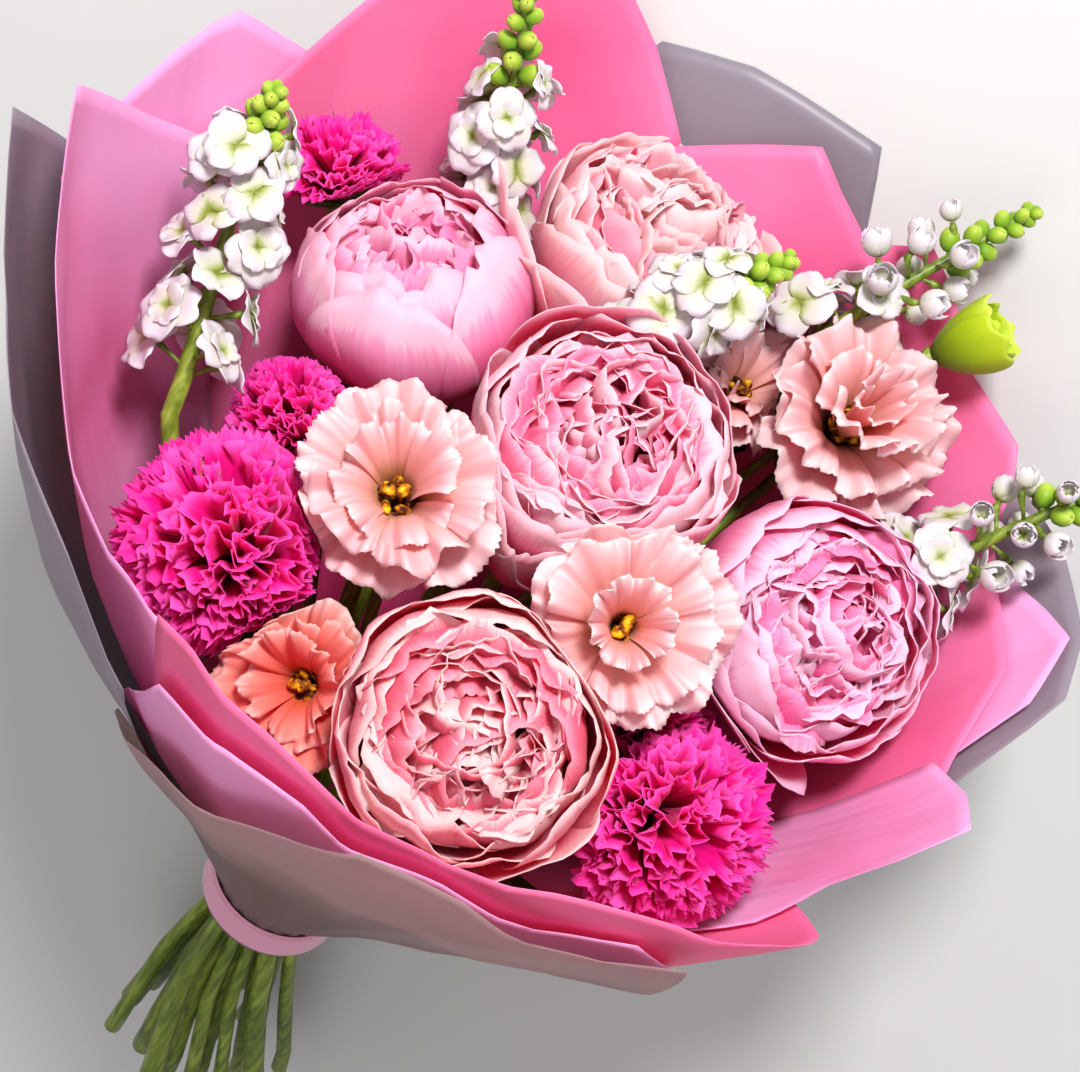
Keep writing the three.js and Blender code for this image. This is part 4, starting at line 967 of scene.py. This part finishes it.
for name, spray in SPRAYS.items():
    rnd = random.Random(spray["seed"])
    path = spray["path"]
    line = stem_line(name, path[0][2] - 12)
    upper = len(line)
    line += [path_point(path, k / STEM_PARTS)[0] for k in range(STEM_PARTS + 1)]
    radii = [STEM_RADII["stock"] * girth(point.z) * (1 - 0.62 * max(0, k - upper) / STEM_PARTS)
             for k, point in enumerate(line)]
    green_bm = bmesh.new()
    add_tube(green_bm, line, radii, PITH)
    florets = new_blades()
    for k in range(FLORETS):
        share = FLORETS_END * k / (FLORETS - 1)
        base, ahead = path_point(path, share)
        out = off_stem(ahead, k * GOLDEN_TURN + spray["seed"], 0.45)
        size = 16.4 - 5 * share + rnd.uniform(-2, 2)
        centre = clear_of_blooms(base + out * (21 - 8 * share), 0.4 * size)
        if (centre - base).length > FARTHEST_FLORET:
            continue
        look = (centre - base).normalized()
        look = (look + Vector((rnd.uniform(-0.5, 0.5), rnd.uniform(-0.5, 0.5), 0.25))).normalized()
        stalk = [base, base.lerp(centre, 0.5) - look * 1.5, centre - look * 3.5, centre - look * 0.4]
        add_tube(green_bm, stalk, [1.0, 0.9, 1.9, 1.2])
        globe = name in HALF_CLOSED and share > 0.34
        add_floret(florets, on_stalk(centre, look), size, globe, rnd)
    buds = new_blades()
    for k in range(BUDS):
        along_buds = (1 - BUDS_START) * k / (BUDS - 1)
        base, ahead = path_point(path, BUDS_START + along_buds)
        out = off_stem(ahead, k * GOLDEN_TURN + spray["seed"] * 2, 0.7)
        size = 4.5 - 5.5 * along_buds
        away = size * (2.1 - 4.0 * along_buds) if k < BUDS - 1 else 1.0
        centre = base + out * away
        add_tube(green_bm, [base, centre - out * size * 0.5], [0.9, 1.1])
        add_bud(buds, on_stalk(centre, out), size, rnd)
    finish_piece(green_bm, f"{name}_green", [name], [stem_green, pith])
    finish_piece(florets, f"{name}_florets", [name], [white], wall=0.3)
    finish_piece(buds, f"{name}_buds", [name], [bud_green], wall=0.3)


# ---- The wrapper: coated paper and frosted film ------------------------------------------------
# Square sheets of soft coated paper are folded round the bunch one after another, with their
# corners up, and gathered at the waist; sheets of frosted film go round them last.
LAYERS = 4
# Where the table holds the sheets up they lie this far apart, and bend up softly towards there.
FLOOR_STEP = 3.0
HALF_SHEET = 0.25
SOFT_ROOM = 20
SOFT_LIFT = 5.0
# Sharp creases that run up through all the sheets: azimuth, half width and depth.
CREASES = [(-12, 9, 3.0), (14, 8, 2.6), (38, 10, 3.4), (57, 7, 2.2), (76, 9, 3.0), (97, 8, 2.4),
           (116, 10, 3.2), (139, 8, 2.6), (161, 9, 3.0), (184, 8, 2.8), (206, 10, 3.2), (229, 8, 2.2),
           (252, 9, 1.6), (277, 9, 1.6), (304, 9, 2.4), (329, 10, 3.0)]


def wrap_span(height, azimuth):
    """How far the outermost sheet stands off the innermost."""
    loose = 14 * front_bump(azimuth, 60, 95) * ease((height - 60) / 260)
    return 6.6 + 0.055 * max(0, along_rows(WRAP_HEIGHTS, WRAP_RADII, height) - 30) + loose


def wrap_point(height, azimuth, layer):
    """A point on a sheet, which lies flat where the table holds it up."""
    radius = inner_radius(height, azimuth) + wrap_span(height, azimuth) * layer / LAYERS
    gather = 0.45 * math.sin(math.radians(26 * azimuth)) * ease(1 - abs(height - 52) / 80)
    bend = 5 * math.sin(height / 85) + 0.7 * math.sin(height / 31)
    crease = 0
    for place, wide, deep in CREASES:
        off_line = abs((azimuth - place - bend + 540) % 360 - 180) / wide
        crease += deep * max(0, 1 - off_line) ** 1.3
    swell = 1.3 * noise.noise(Vector((azimuth / 26, height / 90, 3)))
    radius += gather + (crease + swell) * ease((height - 50) / 190)
    point = ring_point(radius, math.radians(azimuth), height)
    room = (lay_back @ point).z * 1000 - (LAYERS - layer) * FLOOR_STEP
    lift = 0.0
    if layer >= LAYERS:
        lift = max(0.0, HALF_SHEET - room)
    elif room < SOFT_ROOM:
        lift = SOFT_LIFT * math.log1p(math.exp(room / SOFT_LIFT)) - room
    return point + Vector((0, math.cos(LEAN), math.sin(LEAN))) * lift


def paper_material(name, lit, shade, rough, translucency, glow_colour, alpha=1.0):
    """Coated paper or film: painted light and shade, in cloudy patches and lighter towards its upper edge,
    and soft wrinkles with the folds.
    """
    material, tree = new_material(name)
    across = add_node(tree, "Attribute", {"attribute_name": "across"}).outputs["Fac"]
    along = add_node(tree, "Attribute", {"attribute_name": "along"}).outputs["Fac"]
    place = add_node(tree, "TexCoord").outputs["Object"]
    clouds = add_node(tree, "TexNoise", {"Scale": 7.0, "Detail": 3.0}, {"Vector": place})
    # Painted light and shade: the shade colour low on a sheet and in cloudy patches, the lit colour towards
    # its upper edge.
    paler = add_node(tree, "Math", {"operation": "MULTIPLY_ADD", 1: 0.45}, {0: along, 2: clouds})
    colour = add_node(tree, "ValToRGB", links={"Fac": paler}, stops=[(0.5, shade), (0.98, lit)])
    wide = add_node(tree, "Math", {"operation": "MULTIPLY", 1: 5.0}, {0: across})
    long = add_node(tree, "Math", {"operation": "MULTIPLY", 1: 2.6}, {0: along})
    folds_at = add_node(tree, "CombineXYZ", links={"X": wide, "Y": long})
    folds = add_node(tree, "TexNoise", {"Scale": 1.0, "Detail": 2.0}, {"Vector": folds_at})
    bump = add_node(tree, "Bump", {"Strength": 0.35, "Distance": 0.004}, {"Height": folds})
    coat = add_node(tree, "BsdfPrincipled",
                    {"Roughness": rough, "Specular IOR Level": 0.35, "Alpha": alpha},
                    {"Base Color": colour, "Normal": bump})
    tinted = add_node(tree, "Mix", {"data_type": "RGBA", "blend_type": "MULTIPLY", 0: 0.7,
                                    7: linear(glow_colour)}, {6: colour})
    glow = add_node(tree, "BsdfTranslucent", links={"Color": tinted.outputs[2]})
    both = add_node(tree, "MixShader", {0: translucency}, {1: coat, 2: glow})
    add_node(tree, "OutputMaterial", links={"Surface": both})
    return material


# Coated paper: smooth and pink, and a lighter lilac copy of it, painted light, for the sheets that catch
# the light. Frosted film: a dull translucent grey, and taupe at the front, where the pink paper shows
# through it.
pink_paper = paper_material("coated_pink_paper", "#FF8CC2", "#F03080", 0.48, 0.32, "#FF3C78")
painted_lit_paper = paper_material("coated_pink_paper_painted_lit", "#FFBEF4", "#F45C9E", 0.48, 0.32, "#FF5C9C")
frosted_film = paper_material("frosted_grey_film", "#ACA0AC", "#7C727C", 0.34, 0.3, "#C8B8C8", alpha=0.8)
taupe_film = paper_material("frosted_taupe_film", "#C8ACAC", "#A48888", 0.34, 0.3, "#F0B8B8", alpha=0.6)

# Each sheet: its layer from the inside out, and its upper edge as azimuth and height points.
PAPER = {
    "paper_left": (0, [(-18, 330), (-5, 358), (10, 398), (21, 352), (33, 306), (44, 284), (58, 294)]),
    "paper_top": (0, [(238, 345), (250, 372), (262, 393), (267, 404), (281, 368), (289, 349)]),
    "paper_front": (1, [(60, 311), (67, 318), (80, 314), (94, 304), (106, 304), (118, 319), (131, 327),
                        (144, 318), (151, 306), (158, 290), (171, 250)]),
    "paper_back": (1, [(281, 368), (289, 399), (297, 424), (302, 436), (313, 428), (325, 382), (335, 351),
                       (346, 330)]),
    "paper_right": (1, [(180, 300), (188, 314), (199, 336), (210, 338), (218, 342), (226, 370), (237, 372),
                        (242, 384), (250, 398), (258, 374), (274, 350)]),
    "paper_corner": (0, [(156, 215), (162, 240), (169, 277), (171.5, 342), (180, 328), (188, 308)]),
    "paper_rear_left": (2, [(320, 340), (331, 364), (340, 383), (349, 372), (356, 360), (366, 342)]),
    "paper_outer_front": (2, [(39, 160), (50, 215), (61, 262), (64, 282), (77, 295), (88, 296), (94, 287),
                              (107, 296), (120, 288), (130, 305), (138, 285), (144, 240)]),
    "paper_outer_right": (2, [(184, 270), (190, 306), (193, 346), (200, 364), (206, 354), (214, 338),
                              (224, 320)]),
}
FILM = {
    "film_left": (3, [(-24, 330), (2, 346), (18, 402), (24, 336), (36, 318), (48, 300), (60, 262)]),
    "film_right": (3, [(178, 316), (187, 308), (192, 360), (200, 366), (212, 366), (230, 350)]),
    "film_front": (4, [(40, 165), (50, 190), (60, 222), (71, 248), (80, 262), (90, 292), (96, 316),
                       (108, 315), (117, 300), (126, 300), (133, 316), (139, 262)]),
    "film_back": (4, [(234, 322), (254, 350), (262, 412), (278, 408), (288, 396), (294, 352), (318, 336),
                      (342, 326)]),
}
# The sheets drawn in the lighter lilac copy of the pink paper, painted light where they catch the light.
PAINTED_LIT_SHEETS = ("paper_left", "paper_corner", "paper_rear_left", "paper_outer_front", "paper_outer_right")
SHEET_FOOT = 10
# Degrees between a sheet's columns of points, its rows, and the walls in millimetres.
SHEET_STEP = 1.6
SHEET_ROWS = 46
PAPER_WALL = 0.4
FILM_WALL = 0.3


def wrap_sheet(name, layer, edge, material, wall):
    """One sheet, from the waist up to its upper edge."""
    marks = []
    for (start, _), (stop, _) in zip(edge, edge[1:]):
        parts = max(1, round((stop - start) / SHEET_STEP))
        marks += [start + (stop - start) * k / parts for k in range(parts)]
    marks.append(edge[-1][0])
    azimuths, tops = zip(*edge)
    columns = len(marks) - 1

    def form(u, v):
        azimuth = marks[round((u + 1) / 2 * columns)]
        top = along_rows(azimuths, tops, azimuth)
        height = SHEET_FOOT + (top - SHEET_FOOT) * v
        return wrap_point(height, azimuth, layer)

    bm = new_blades()
    add_blade(bm, columns, SHEET_ROWS, 0.5, form)
    finish_piece(bm, f"{name}_sheet", [name], [material], wall=wall)


for name, (layer, edge) in PAPER.items():
    wrap_sheet(name, layer, edge, painted_lit_paper if name in PAINTED_LIT_SHEETS else pink_paper, PAPER_WALL)
for name, (layer, edge) in FILM.items():
    wrap_sheet(name, layer, edge, taupe_film if name == "film_front" else frosted_film, FILM_WALL)


# ---- The tie -----------------------------------------------------------------------------------
# A flat satin ribbon, wound three times round the gathered wrapper at the waist, which it holds tight on
# the stems. It has a soft sheen, and threads about 0.4 mm apart, each lighter along its crest as a painted
# highlight.
TIE = {"radius": 35.9, "half": 9.0, "turns": 3}
satin_ribbon, tree = new_material("satin_ribbon")
along = add_node(tree, "Attribute", {"attribute_name": "along"}).outputs["Fac"]
threads = add_node(tree, "Math", {"operation": "MULTIPLY", 1: 260.0}, {0: along})
weave = add_node(tree, "Math", {"operation": "SINE"}, {0: threads})
# Painted highlight: each thread lighter at its crest.
painted_thread_shine = add_node(tree, "MapRange", {"From Min": -1.0}, {"Value": weave})
pink = add_node(tree, "ValToRGB", links={"Fac": painted_thread_shine}, stops=[(0.0, "#E884AC"), (1.0, "#F8B4CC")])
bump = add_node(tree, "Bump", {"Strength": 0.3, "Distance": 0.0002}, {"Height": weave})
satin = add_node(tree, "BsdfPrincipled", {"Roughness": 0.32, "Sheen Weight": 0.4, "Anisotropic": 0.5},
                 {"Base Color": pink, "Normal": bump})
add_node(tree, "OutputMaterial", links={"Surface": satin})
bm = new_blades()


def ribbon(u, v):
    turn = (u + 1) * math.pi * TIE["turns"]
    level = TIE["half"] * (2 * v - 1)
    slant = 1.4 * math.sin(turn / TIE["turns"])
    ripple = 0.12 * math.sin(26 * turn) * math.sin(math.pi * v)
    radius = TIE["radius"] - 0.35 + 0.45 * (u + 1) / 2 + ripple
    return ring_point(radius, turn, level * 0.84 + slant + TIE_HEIGHT)


add_blade(bm, 300, 10, 0.5, ribbon)
finish_piece(bm, "tie_ribbon", ["tie_band"], [satin_ribbon], wall=0.25)
